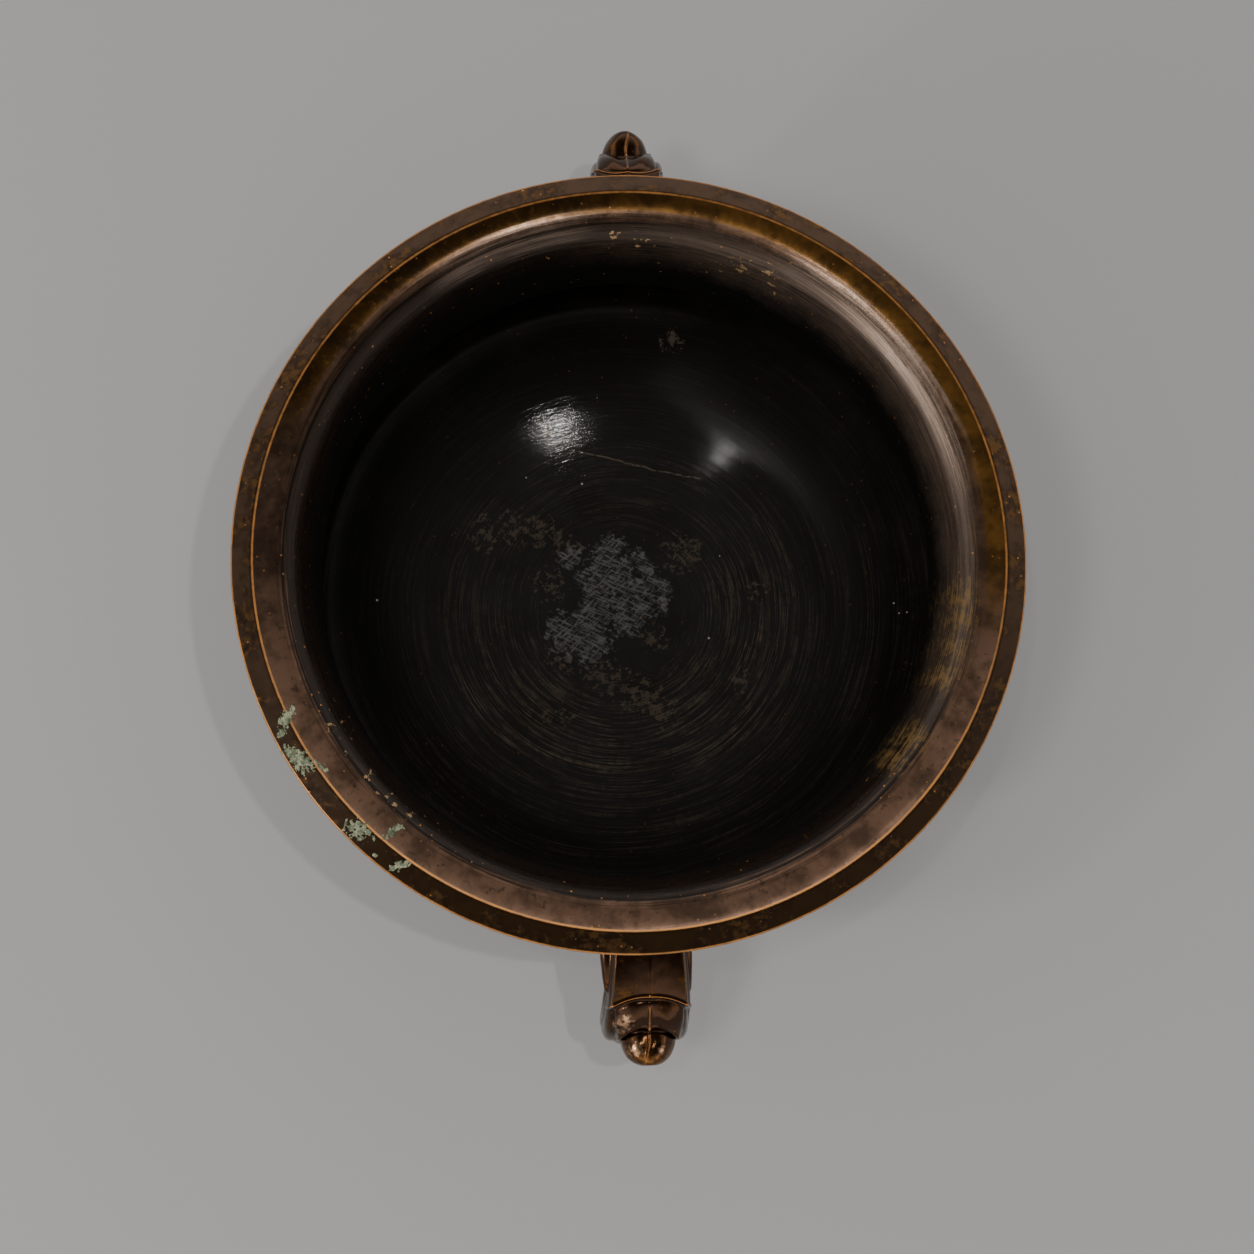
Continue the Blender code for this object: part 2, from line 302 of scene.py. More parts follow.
def outside_outline(sizes):
    """From the lip's edge in to the neck, out over the body, round the foot and in under the bowl to the axis."""
    edge, throat, belly, _, base = levels(sizes)
    turn = np.linspace(0.0, math.pi / 2, 13)
    rounding = np.stack(
        [
            sizes.rim_radius - sizes.lip_edge_tuck * (1 - np.cos(turn)),
            edge - sizes.lip_edge_height * np.sin(turn),
        ],
        axis=1,
    )
    neck_radius = sizes.throat_radius + sizes.wall
    widest = sizes.belly_radius + sizes.wall
    under_lip = quarter(rounding[-1], (neck_radius, throat), 2.0)
    neck = swell((neck_radius, throat), (widest, belly))
    body = dish(widest, belly, base, widest, sizes.foot_waist_radius)
    underside = dish(widest, belly, base, sizes.foot_waist_radius - sizes.foot_thickness, 0.0)
    share = np.linspace(0.0, 1.0, 17)[1:]
    flare = np.stack(
        [
            between(sizes.foot_waist_radius, sizes.foot_radius, share**2),
            between(body[-1][1], sizes.foot_edge_height, share),
        ],
        axis=1,
    )
    foot = [(sizes.foot_radius, 0.0), (sizes.foot_radius - sizes.foot_thickness, 0.0)]
    return np.concatenate([rounding, under_lip[1:], neck, body[1:], flare, foot, underside])


def along(points):
    """Distance along a polyline at each of its points."""
    return np.concatenate([[0.0], np.cumsum(np.hypot(*np.diff(points, axis=0).T))])


def eased(points, softness, step=0.05 * MM):
    """A polyline sampled finely, its corners rounded over softness and its ends kept."""
    distance = along(points)
    at = np.linspace(0.0, distance[-1], int(distance[-1] / step) + 1)
    fine = np.stack([np.interp(at, distance, points[:, axis]) for axis in (0, 1)], axis=1)
    reach = int(4 * softness / step)
    kernel = bump_at(np.arange(-reach, reach + 1) * step, 0.0, softness * math.sqrt(2))
    padded = np.concatenate([2 * fine[0] - fine[reach:0:-1], fine, 2 * fine[-1] - fine[-2 : -reach - 2 : -1]])
    return np.stack([np.convolve(padded[:, axis], kernel / kernel.sum(), "valid") for axis in (0, 1)], axis=1)


def graded(extent, coarse, fine, places, reach):
    """Stations from 0 to extent, closer together near the given places."""
    at = np.linspace(0.0, extent, 6000)
    near = np.min(np.abs(at[:, None] - np.array(places)[None, :]), axis=1)
    step = between(fine, coarse, np.clip(near / reach, 0.0, 1.0))
    count = np.concatenate([[0.0], np.cumsum(np.diff(at) * 2 / (step[1:] + step[:-1]))])
    return np.interp(np.linspace(0.0, count[-1], math.ceil(count[-1]) + 1), count, at)


def wandering(distance, wavelength, seed):
    """A smooth random curve of unit height along a distance."""
    place = np.asarray(distance) / wavelength
    return np.array([noise.noise(Vector((float(p), seed * 7.31, 0.37))) for p in place]) * 1.6


def grid_faces(rows, columns, closed=True):
    """Quads over a grid of points stored row by row, joined round each row if closed."""
    row = np.arange(rows - 1)[:, None] * columns
    column = np.arange(columns if closed else columns - 1)[None, :]
    after = (column + 1) % columns
    return np.stack(
        [row + column, row + after, row + columns + after, row + columns + column], axis=-1
    ).reshape(-1, 4)


def new_object(name, points, faces):
    """A mesh object with smooth shading, its faces as given."""
    mesh = bpy.data.meshes.new(name)
    mesh.from_pydata(np.asarray(points).tolist(), [], faces)
    mesh.validate()
    made = bpy.data.objects.new(name, mesh)
    bpy.context.scene.collection.objects.link(made)
    mesh.shade_smooth()
    return made


def outward(points):
    """Unit normals over a grid of points whose rows are closed rings."""
    down = np.gradient(points, axis=0)
    round_ = np.roll(points, -1, axis=1) - np.roll(points, 1, axis=1)
    normal = np.cross(down, round_)
    return normal / np.maximum(np.linalg.norm(normal, axis=2, keepdims=True), TINY)


def lofted(name, points):
    """A closed mesh through a grid of points, with flat ends."""
    rows, columns = points.shape[:2]
    faces = grid_faces(rows, columns).tolist()
    faces += [list(range(columns))[::-1], [(rows - 1) * columns + i for i in range(columns)]]
    return face_out(new_object(name, points.reshape(-1, 3), faces))


def face_out(made):
    """Turns every face of a closed mesh to point out."""
    shape = bmesh.new()
    shape.from_mesh(made.data)
    bmesh.ops.recalc_face_normals(shape, faces=shape.faces)
    shape.to_mesh(made.data)
    shape.free()
    return made


def united(target, others):
    """Joins closed meshes into the target as one skin and removes them."""
    for other in others:
        modifier = target.modifiers.new(other.name, "BOOLEAN")
        modifier.operation = "UNION"
        modifier.solver = "MANIFOLD"
        modifier.object = other
    graph = bpy.context.evaluated_depsgraph_get()
    mesh = bpy.data.meshes.new_from_object(target.evaluated_get(graph), depsgraph=graph)
    before = target.data
    target.modifiers.clear()
    target.data = mesh
    bpy.data.meshes.remove(before)
    for other in others:
        bpy.data.objects.remove(other)
    if not mesh.polygons:
        raise RuntimeError(f"joining the pieces of {target.name} left no mesh")
    return target


def ring_weights(keys, parts, softness=1.1):
    """Weights that turn a closed ring of keys into a ring of points, parts[k] of them after key k.

    Softness is how many points the corners are rounded over.
    """
    rows = []
    for key, count in enumerate(parts):
        for step in range(count):
            row = np.zeros(keys)
            row[key] += 1 - step / count
            row[(key + 1) % keys] += step / count
            rows.append(row)
    rows = np.array(rows)
    reach = math.ceil(3 * softness)
    shifts = range(-reach, reach + 1)
    spread = bump_at(np.array(shifts), 0.0, softness * math.sqrt(2))
    return sum(share * np.roll(rows, shift, axis=0) for shift, share in zip(shifts, spread / spread.sum()))


# The turned body


class Outline:
    """The bowl's whole cross-section, from the middle of the floor over the crest to the underside's middle."""

    def __init__(self, sizes):
        inside, outside = inside_outline(sizes), outside_outline(sizes)
        whole = np.concatenate([inside, outside])
        distance = along(whole)
        crest = distance[len(inside) - 1]
        edge = distance[len(inside)]
        foot = [distance[i] for i in range(len(whole)) if whole[i][1] == 0.0]
        self.fine = eased(whole, sizes.arris_softness)
        self.fine[0][0] = self.fine[-1][0] = 0.0
        self.distance = along(self.fine)
        scale = self.distance[-1] / distance[-1]
        self.crest = crest * scale
        self.arrises = [place * scale for place in (crest, edge, *foot)]
        slope = np.gradient(self.fine, axis=0)
        slope /= np.linalg.norm(slope, axis=1, keepdims=True)
        self.fine_normal = np.stack([-slope[:, 1], slope[:, 0]], axis=1)

    def at(self, distance):
        """Points of the outline and its normals at these distances from the middle of the floor."""
        point = np.stack([np.interp(distance, self.distance, self.fine[:, a]) for a in (0, 1)], axis=-1)
        normal = np.stack([np.interp(distance, self.distance, self.fine_normal[:, a]) for a in (0, 1)], axis=-1)
        return point, normal


def in_wall(sizes, level, share):
    """Radius of a place in the wall at heights between the foot and the lip: 0 is its outside, 1 its inside."""
    inner = inside_outline(sizes)
    outer = outside_outline(sizes)
    outer = outer[(outer[:, 1] > sizes.foot_edge_height * 2) & (outer[:, 0] > sizes.foot_waist_radius)]
    order = np.argsort(outer[:, 1])
    outside = np.interp(level, outer[order, 1], outer[order, 0])
    inside = np.interp(level, inner[:, 1], inner[:, 0])
    return between(outside, inside, share)


def turned_body(name, sizes, outline):
    """The body, lip and foot ring as one closed mesh, turned inside and with a slight waver in the cast."""
    inner = outline.crest
    stations = graded(outline.distance[-1], OUTSIDE_STEP, ARRIS_STEP, outline.arrises, 14 * MM)
    fine_inside = graded(inner, INSIDE_STEP, ARRIS_STEP, [inner], 4 * MM)
    stations = np.concatenate([fine_inside, stations[stations > inner + 0.05 * MM]])
    (radius, level), (across, up) = (pair.T for pair in outline.at(stations))

    # Ridges left by turning: fainter up the slope, and none at the lip or outside
    ridge = wandering(stations, 1.7 * MM, 1) + 0.7 * wandering(stations, 3.6 * MM, 2)
    turning = sizes.turning_depth * ridge * (stations < inner - 3 * MM)
    turning *= 1.0 - smooth_step(stations, inner - 14 * MM, inner - 5 * MM) * 0.6

    # Columns lie closer together by the handles, and the cast surface wavers except at the axis and on the ground
    angle = np.radians(graded(360.0, 2.6, 1.0, [0.0, 180.0, 360.0], 16.0)[:-1] - 90.0)
    lift = np.zeros((len(stations), len(angle)))
    for row in range(len(stations)):
        size = radius[row] * WAVER_WAVES
        for column, turn in enumerate(angle):
            place = Vector((size * math.cos(turn), size * math.sin(turn), level[row] * WAVER_WAVES))
            lift[row, column] = noise.noise(place)
    lift = lift * sizes.casting_waver * smooth_step(radius, 0.0, 8 * MM)[:, None] * (level > 1 * MM)[:, None]
    lift += turning[:, None] * (0.75 + 0.35 * np.cos(2 * angle + 0.8))[None, :]

    ring_radius = radius[:, None] + across[:, None] * lift
    ring_level = level[:, None] + up[:, None] * lift
    points = np.stack([ring_radius * np.cos(angle), ring_radius * np.sin(angle), ring_level], axis=2)
    rows, columns = len(stations) - 2, len(angle)
    rings = points[1:-1].reshape(-1, 3)
    top, bottom = len(rings), len(rings) + 1
    faces = grid_faces(rows, columns).tolist()
    last = (rows - 1) * columns
    for column in range(columns):
        after = (column + 1) % columns
        faces.append((top, after, column))
        faces.append((bottom, last + column, last + after))
    poles = [(0.0, 0.0, points[0][0][2]), (0.0, 0.0, points[-1][0][2])]
    return new_object(name, np.concatenate([rings, poles]), faces)


# The handles

# Carving of the heads: the middle ridge, which bends over the nose to one side of a valley, and smaller forms
RIDGE_WIDTH, RIDGE_BEND = 0.24 * MM, 0.75 * MM
VALLEY_WIDTH, VALLEY_DEPTH = 0.40 * MM, 0.22 * MM
EYE_OUT, EYE_LENGTH, EYE_WIDTH, EYE_HEIGHT = 3.7 * MM, 2.1 * MM, 2.3 * MM, 0.65 * MM
NOSTRIL_OUT, NOSTRIL_LENGTH, NOSTRIL_WIDTH, NOSTRIL_HEIGHT = 2.6 * MM, 1.9 * MM, 1.6 * MM, 0.45 * MM
CREASE_DEPTH = 0.16 * MM
CUSP_WIDTH, CUSP_REACH = 0.55 * MM, 0.40 * MM  # the point in the middle of the brow's edge
EAR_START, EAR_FULL = 69 * MM, 75 * MM  # from the bowl's axis
EAR_NOTCH = 3.4 * MM  # back from the hood's edge
EAR_LEVEL, EAR_HALF_LEVEL = 0.76, 0.17  # share of the way down the head's section

# The skin left by casting: its height, and its waves to a metre
HEAD_SKIN = (0.05 * MM, 420.0)
BAR_SKIN = (0.06 * MM, 380.0)

# Grooves of the loop's bar: depth, then middle and width as shares of its half section
BORDER_GROOVE = (0.32 * MM, 0.70, 0.07)
FACE_GROOVE = (0.22 * MM, 0.08, 0.16)
BAR_SIDE = 0.88  # share of the half width beyond which a groove cuts sideways


def step_rows(before, after):
    """Rows of the short step from the edge of one form of the head down to the start of the next."""
    return [tuple(between(a, b, share) for a, b in zip(before, after)) for share in (0.2, 0.4, 0.6, 0.8)]


def head_stations(sizes, bowl):
    """The head's measures from the neck to the nose's tip, one row per section.

    Each row holds reach, top, underside, half width of the roof, flare of the flank and of the jaw, fall of the
    roof, bow of the section, and how straight its roof falls.
    """
    edge = bowl.height - bowl.lip_fall
    neck = bowl.throat_radius + bowl.wall
    start = neck + 0.4 * MM
    hood_end = bowl.rim_radius + sizes.hood_reach
    brow_end = bowl.rim_radius + sizes.brow_reach
    nose_end = bowl.rim_radius + sizes.nose_reach
    arm_top, hood_top = edge - sizes.arm_drop, edge - sizes.hood_drop
    brow_top, nose_top = edge - sizes.brow_drop, edge - sizes.nose_drop
    under_arm, chin = arm_top - sizes.arm_depth, edge - sizes.chin_drop
    flare, bow = sizes.cheek_flare, sizes.edge_bow
    rows = []
    for share in np.sin(np.linspace(0.0, math.pi / 2, 92)):
        reach = between(start, hood_end, share)
        out = max(0.0, (reach - neck - bowl.wall) / (hood_end - neck - bowl.wall))
        root = sizes.root_flare * math.exp(-max(0.0, reach - neck) / (1.4 * MM))
        half_width = between(sizes.hood_root_half_width, sizes.hood_half_width, out) + root
        top = between(arm_top, hood_top, out**2) + root
        under = between(under_arm, chin, 0.60 * out**3) - root
        rows.append((reach, top, under, half_width, flare, 0.8 * flare, 0.22, bow * out, 1.0))
    hood_edge = rows[-1]
    brow_start = hood_end + sizes.step_reach
    brow_under = between(under_arm, chin, 0.66)
    brow_top_start = hood_top - sizes.step_drop
    first_brow = (
        brow_start, brow_top_start, brow_under, sizes.brow_half_width, 1.2 * flare, 1.3 * flare, 0.28, bow, 0.1,
    )
    rows += step_rows(hood_edge, first_brow)
    for share in np.linspace(0.0, 1.0, 34):
        rows.append(
            (
                between(brow_start, brow_end, share),
                between(brow_top_start, brow_top, share**1.4),
                between(brow_under, chin, share),
                between(sizes.brow_half_width, sizes.brow_end_half_width, share**2),
                between(1.1, 0.40, share) * flare,
                between(1.3, 0.45, share) * flare,
                between(0.28, 0.33, share),
                between(bow, 1.3 * bow, share),
                0.1,
            )
        )
    brow_edge = rows[-1]
    nose_start = brow_end + sizes.step_reach
    nose_top_start = brow_top - sizes.step_drop
    first_nose = (
        nose_start, nose_top_start, chin, sizes.nose_half_width, 0.0, 0.45 * flare, 0.42, 0.2 * bow, 0.0,
    )
    rows += step_rows(brow_edge, first_nose)
    for turn in np.linspace(0.0, math.pi / 2, 40):
        closing = max(math.cos(turn), 0.03)
        rows.append(
            (
                between(nose_start, nose_end, math.sin(turn)),
                between(nose_top, nose_top_start, closing),
                between(nose_top, chin, closing**0.7),
                sizes.nose_half_width * closing**0.85,
                0.0,
                0.45 * flare * max(0.0, 1 - math.sin(turn) / 0.32),
                0.42,
                0.2 * bow * closing,
                0.0,
            )
        )
    return np.array(rows)


def head_points(sizes, bowl):
    """The head as a grid of points: rows from the neck to the tip, columns round from the middle of the roof.

    Also gives, for each point, its distance across and its share of the way down, and the reach of each row.
    """
    rows = head_stations(sizes, bowl)
    reach, top, under, roof, flare, jaw, crown, bow, straight = (rows[:, i : i + 1] for i in range(9))
    # Keys down one side of the section: how far across, and the share of the way down to the underside
    side = []
    for across in (0.0, 0.04, 0.2, 0.4, 0.6, 0.8, 0.92, 1.0):
        slope = (math.hypot(across, 0.03) - 0.03) / (math.hypot(1.0, 0.03) - 0.03)
        dome = (1 - math.sqrt(1 - (0.96 * across) ** 2)) / (1 - math.sqrt(1 - 0.96**2))
        side.append((across * roof, crown * between(dome, slope, straight)))

    def below(share):
        return between(crown, 1.0, share)

    side += [
        (roof + 0.10 * flare, below(0.14)),
        (roof + 0.62 * flare, below(0.27)),
        (roof + 0.44 * flare, below(0.35)),
        (roof + jaw, below(0.56)),
        (roof + 0.80 * jaw, below(0.78)),
        (0.64 * (roof + jaw), below(0.96)),
        (0.32 * (roof + jaw), below(1.0)),
    ]
    middle = (0.0 * roof, 1.0 + 0.0 * crown)
    ring = side + [middle] + [(-across, share) for across, share in side[:0:-1]]

    # How many points follow each key of one side
    half = [2, 4, 5, 5, 5, 3, 3, 4, 4, 3, 6, 6, 5, 5, 5]
    weights = ring_weights(len(ring), half + half[::-1])
    across = np.concatenate([a for a, _ in ring], axis=1) @ weights.T
    share = np.concatenate([s for _, s in ring], axis=1) @ weights.T
    depth = top - under
    out = np.clip((np.abs(across) / roof - 0.12) / 0.88, 0.0, 1.0) ** 2
    points = np.stack([across, -(reach + bow * out), top - depth * share], axis=2)
    return points, across, share, reach[:, 0]


def carved_head(name, sizes, bowl):
    """The beast's head: hood, brow and nose, with raised borders, a middle ridge, eyes, nostrils and ears."""
    points, across, share, reach = head_points(sizes, bowl)
    hood_end = bowl.rim_radius + sizes.hood_reach
    brow_end = bowl.rim_radius + sizes.brow_reach
    nose_end = bowl.rim_radius + sizes.nose_reach
    out = reach[:, None]
    upper = 1.0 - smooth_step(share, 0.45, 0.62)
    on_hood = out <= hood_end
    on_brow = (out > hood_end) & (out <= brow_end)
    on_nose = out > brow_end
    brow_run = np.clip((out - hood_end) / (brow_end - hood_end), 0.0, 1.0)
    nose_run = np.clip((out - brow_end) / (nose_end - brow_end), 0.0, 1.0)
    tip = np.sqrt(np.maximum(0.0, 1.0 - nose_run**2))

    # The ridge down the middle starts under the hood and bends to one side over the nose
    bend = RIDGE_BEND * smooth_step(nose_run, 0.25, 0.85)
    ridge = bump_at(across, -bend, RIDGE_WIDTH) * upper
    strength = 0.30 * on_hood * smooth_step(out, 80 * MM, 84 * MM) + on_brow * smooth_step(brow_run, 0.10, 0.35)
    strength = strength + 0.9 * on_nose * tip
    lift = sizes.ridge_height * ridge * strength
    valley = bump_at(across, -bend + RIDGE_BEND, VALLEY_WIDTH) * smooth_step(nose_run, 0.2, 0.5) * tip
    lift -= VALLEY_DEPTH * valley * upper

    # A raised border along the front of the hood and of the brow
    for end, width, height in ((hood_end, 0.30 * MM, 1.0), (brow_end, 0.26 * MM, 0.9)):
        border = bump_at(out, end - 0.9 * width, width) * (out <= end + 0.12 * MM) * (share < 0.85)
        lift += height * sizes.bead_height * border

    # Eyes on the brow, nostrils on the nose, and a crease under the hood's and the brow's edge
    eye = bump_at(out, between(hood_end, brow_end, 0.66), EYE_LENGTH) * bump_at(np.abs(across), EYE_OUT, EYE_WIDTH)
    eye = eye * smooth_step(brow_run, 0.0, 0.2) * (1 - smooth_step(brow_run, 0.86, 1.0))
    lift += EYE_HEIGHT * eye * upper * on_brow
    nostril = bump_at(out, between(brow_end, nose_end, 0.58), NOSTRIL_LENGTH)
    nostril = nostril * bump_at(np.abs(across + bend), NOSTRIL_OUT, NOSTRIL_WIDTH)
    lift += NOSTRIL_HEIGHT * nostril * upper * on_nose * tip
    for place, width in ((between(hood_end, brow_end, 0.06), 0.35 * MM), (brow_end + 0.9 * MM, 0.30 * MM)):
        lift -= CREASE_DEPTH * bump_at(out, place, width) * upper

    # Ears lie back along the flanks and end in a notch
    ear_end = hood_end - EAR_NOTCH
    ear = smooth_step(out, EAR_START, EAR_FULL) * (1 - smooth_step(out, ear_end, ear_end + 0.8 * MM))
    ear = ear * between(2.3, 0.75, np.clip((out - 76 * MM) / (ear_end - 76 * MM), 0.0, 1.0) ** 1.4)
    ear = ear * between(0.45, 1.0, smooth_step(-across, -1 * MM, 1 * MM))
    from_ear = (share - EAR_LEVEL) / EAR_HALF_LEVEL
    lift += MM * ear * np.exp(-(from_ear**4)) * on_hood

    facing = outward(points)
    points = points + facing * lift[:, :, None]
    points = points + facing * skin_waver(points, *HEAD_SKIN)[:, :, None]
    cusp = CUSP_REACH * bump_at(across, 0.0, CUSP_WIDTH) * smooth_step(brow_run, 0.6, 1.0) * on_brow * upper
    points[:, :, 1] -= cusp
    points[0, :, 1] = -np.sqrt(in_wall(bowl, points[0, :, 2], 0.5) ** 2 - (points[0, :, 0] + sizes.offset) ** 2)
    return lofted(name, points)


def skin_waver(points, height, frequency):
    """Small random height for each point of a grid, as left by casting."""
    flat = points.reshape(-1, 3) * frequency
    return np.array([noise.noise(Vector(p)) for p in flat.tolist()]).reshape(points.shape[:2]) * height


def loop_bar(name, sizes, bowl):
    """The loop's bar out of the neck, round and back into the belly, with a groove along each border."""
    edge = bowl.height - bowl.lip_fall
    middle = edge - (sizes.loop_top_drop + sizes.loop_bottom_drop) / 2
    half_height = (sizes.loop_bottom_drop - sizes.loop_top_drop) / 2
    half_length = bowl.rim_radius + sizes.loop_reach - sizes.loop_start_radius
    turn = np.linspace(0.0, math.pi, 84)
    oval = np.stack(
        [
            sizes.loop_start_radius + half_length * np.sin(turn),
            middle + half_height * np.cos(turn),
            np.sin(turn) ** 1.5,
        ],
        axis=1,
    )
    above = np.array([(bowl.throat_radius + bowl.wall / 2, middle + half_height, 0.0)])
    root = in_wall(bowl, middle - half_height, 0.3)
    below = np.array([(r, middle - half_height, 0.0) for r in np.linspace(sizes.loop_start_radius, root, 12)[1:]])
    path = np.concatenate([above, oval, below])
    ended = len(path) - len(below) - 1
    step = np.gradient(path[:, :2], axis=0)
    step /= np.linalg.norm(step, axis=1, keepdims=True)
    outward_reach, outward_level = -step[:, 1], step[:, 0]

    # Keys down one side of the bar's section, as shares of its half width and of its half thickness
    side = [
        (0.0, 1.0), (0.34, 0.99), (0.66, 0.92), (0.88, 0.68), (0.94, 0.30), (1.00, -0.10), (0.93, -0.50),
        (0.74, -0.84), (0.38, -0.99), (0.0, -1.0),
    ]
    ring = np.array(side + [(-across, out) for across, out in side[-2:0:-1]])
    parts = [5, 5, 5, 4, 4, 4, 4, 4, 4] * 2
    weights = ring_weights(len(ring), parts, 1.4)
    across, out = (weights @ ring).T
    distance = along(path[:, :2])
    flare = sizes.root_flare * np.exp(-(distance[-1] - distance) / (3.2 * MM))
    half_width = between(sizes.loop_end_half_width, sizes.loop_half_width, path[:, 2]) + flare
    thickness = sizes.loop_half_thickness + 0.9 * flare
    depth, *border = BORDER_GROOVE
    groove = depth * (bump_at(np.abs(across), *border) * (out > 0))
    depth, *face = FACE_GROOVE
    groove = groove + depth * bump_at(out, *face)
    on_side = np.abs(across) >= BAR_SIDE
    lift = thickness[:, None] * out[None, :] - groove[None, :] * np.sign(out)[None, :] * ~on_side
    wide = half_width[:, None] * across[None, :] - (groove * np.sign(across) * on_side)[None, :]
    points = np.stack(
        [
            wide,
            -(path[:, :1] + outward_reach[:, None] * lift),
            path[:, 1:2] + outward_level[:, None] * lift,
        ],
        axis=2,
    )
    points += skin_waver(points, *BAR_SKIN)[:, :, None] * outward(points)
    points[:, :, 0] += sizes.loop_lean * path[:, 2][:, None]
    for row, share in ((0, 0.5), (-1, 0.3)):
        reach = in_wall(bowl, points[row, :, 2], share)
        points[row, :, 1] = -np.sqrt(reach**2 - (points[row, :, 0] + sizes.offset) ** 2)

    # The bar runs level into the belly, each point to its own place in the wall
    for row in range(ended, len(points) - 1):
        share = (row - ended) / (len(points) - 1 - ended)
        points[row, :, 1] = between(points[ended, :, 1], points[-1, :, 1], share)
    return lofted(name, points)


def placed_handle(name, sizes, bowl, turn, width=1.0):
    """One handle as one skin, turned about the bowl's axis. Width is its share of the front handle's."""
    head = carved_head(name, sizes, bowl)
    bar = loop_bar(f"{name}_bar", sizes, bowl)
    handle = united(head, [bar])
    narrowed = Matrix.Diagonal((width, 1.0, 1.0, 1.0))
    handle.data.transform(Matrix.Translation((sizes.offset, 0.0, 0.0)) @ Matrix.Rotation(turn, 4, "Z") @ narrowed)
    return handle


# What the finish reads from the mesh


def read(items, name, width=1, kind=np.float64):
    """One property of all items of a mesh, as an array with a row for each."""
    values = np.empty(len(items) * width, dtype=kind)
    items.foreach_get(name, values)
    return values.reshape(-1, width) if width > 1 else values


def store(mesh, name, values):
    """Keeps one value for each point of a mesh, for the materials to read."""
    attribute = mesh.attributes.new(name, "FLOAT", "POINT")
    attribute.data.foreach_set("value", np.asarray(values, dtype=np.float32))


def measure_surface(made, outline):
    """Stores on each point its distance from the crest along the outline, and how worn or sunken it is.

    Gives the distances in millimetres, and how much each point is part of a handle.
    """
    mesh = made.data
    points = read(mesh.vertices, "co", 3)
    count = len(points)
    radius, level = np.hypot(points[:, 0], points[:, 1]), points[:, 2]
    coarse = outline.fine[::4]
    distance = outline.distance[::4]
    heading = np.gradient(coarse, axis=0)
    heading /= np.linalg.norm(heading, axis=1, keepdims=True)
    nearest, gap = np.empty(count), np.empty(count)
    batch = 4000
    for start in range(0, count, batch):
        rows = slice(start, start + batch)
        apart = (radius[rows, None] - coarse[None, :, 0]) ** 2 + (level[rows, None] - coarse[None, :, 1]) ** 2
        best = apart.argmin(axis=1)
        off = np.stack([radius[rows], level[rows]], axis=1) - coarse[best]
        nearest[rows] = distance[best] + (off * heading[best]).sum(axis=1)
        gap[rows] = np.sqrt(apart[np.arange(len(best)), best])
    handle = smooth_step(gap, 0.25 * MM, 0.6 * MM) * (np.abs(points[:, 1]) > np.abs(points[:, 0]))

    first, second = read(mesh.edges, "vertices", 2, np.int64).T
    normals = read(mesh.vertices, "normal", 3)
    step = points[second] - points[first]
    span = np.maximum(np.einsum("ij,ij->i", step, step), TINY)
    bend = np.einsum("ij,ij->i", normals[second] - normals[first], step) / span
    curve = spread_over(bend, bend, first, second, np.zeros(count), np.zeros(count))
    for _ in range(2):
        curve = spread_over(curve[second], curve[first], first, second, curve, np.ones(count))
    from_crest = (nearest - outline.crest) / MM
    store(mesh, "from_crest", from_crest)
    store(mesh, "worn", smooth_step(curve, *WORN_CURVES))
    store(mesh, "sunken", smooth_step(-curve, *SUNKEN_CURVES))
    return from_crest, handle


def keep_inside(made):
    """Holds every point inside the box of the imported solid."""
    held = np.clip(read(made.data.vertices, "co", 3), np.array(CAD_LOW), np.array(CAD_HIGH))
    made.data.vertices.foreach_set("co", held.ravel())
    made.data.update()


def spread_over(at_first, at_second, first, second, total, number):
    """Means at each point of what its edges carry there, added to a starting total over a starting number."""
    total, number = total.copy(), number.copy()
    np.add.at(total, first, at_first)
    np.add.at(total, second, at_second)
    np.add.at(number, first, 1)
    np.add.at(number, second, 1)
    return total / np.maximum(number, 1)


def finish_faces(made, from_crest, handle, finishes):
    """Gives each face the finish of its part of the bowl: floor, slope and lip, outside, or handle."""
    mesh = made.data
    mesh.materials.clear()
    for finish in finishes:
        mesh.materials.append(finish)
    corners = read(mesh.loops, "vertex_index", kind=np.int64)
    starts = read(mesh.polygons, "loop_start", kind=np.int64)
    sides = np.diff(np.append(starts, len(corners)))
    distance = np.add.reduceat(from_crest[corners], starts) / sides
    on_handle = np.add.reduceat(handle[corners], starts) / sides
    tests = [on_handle > 0.5, distance < -FLOOR_FINISH_START, distance < OUTSIDE_FINISH_START]
    part = np.select(tests, [3, 0, 1], 2)
    mesh.polygons.foreach_set("material_index", part.astype(np.int32))


# Materials


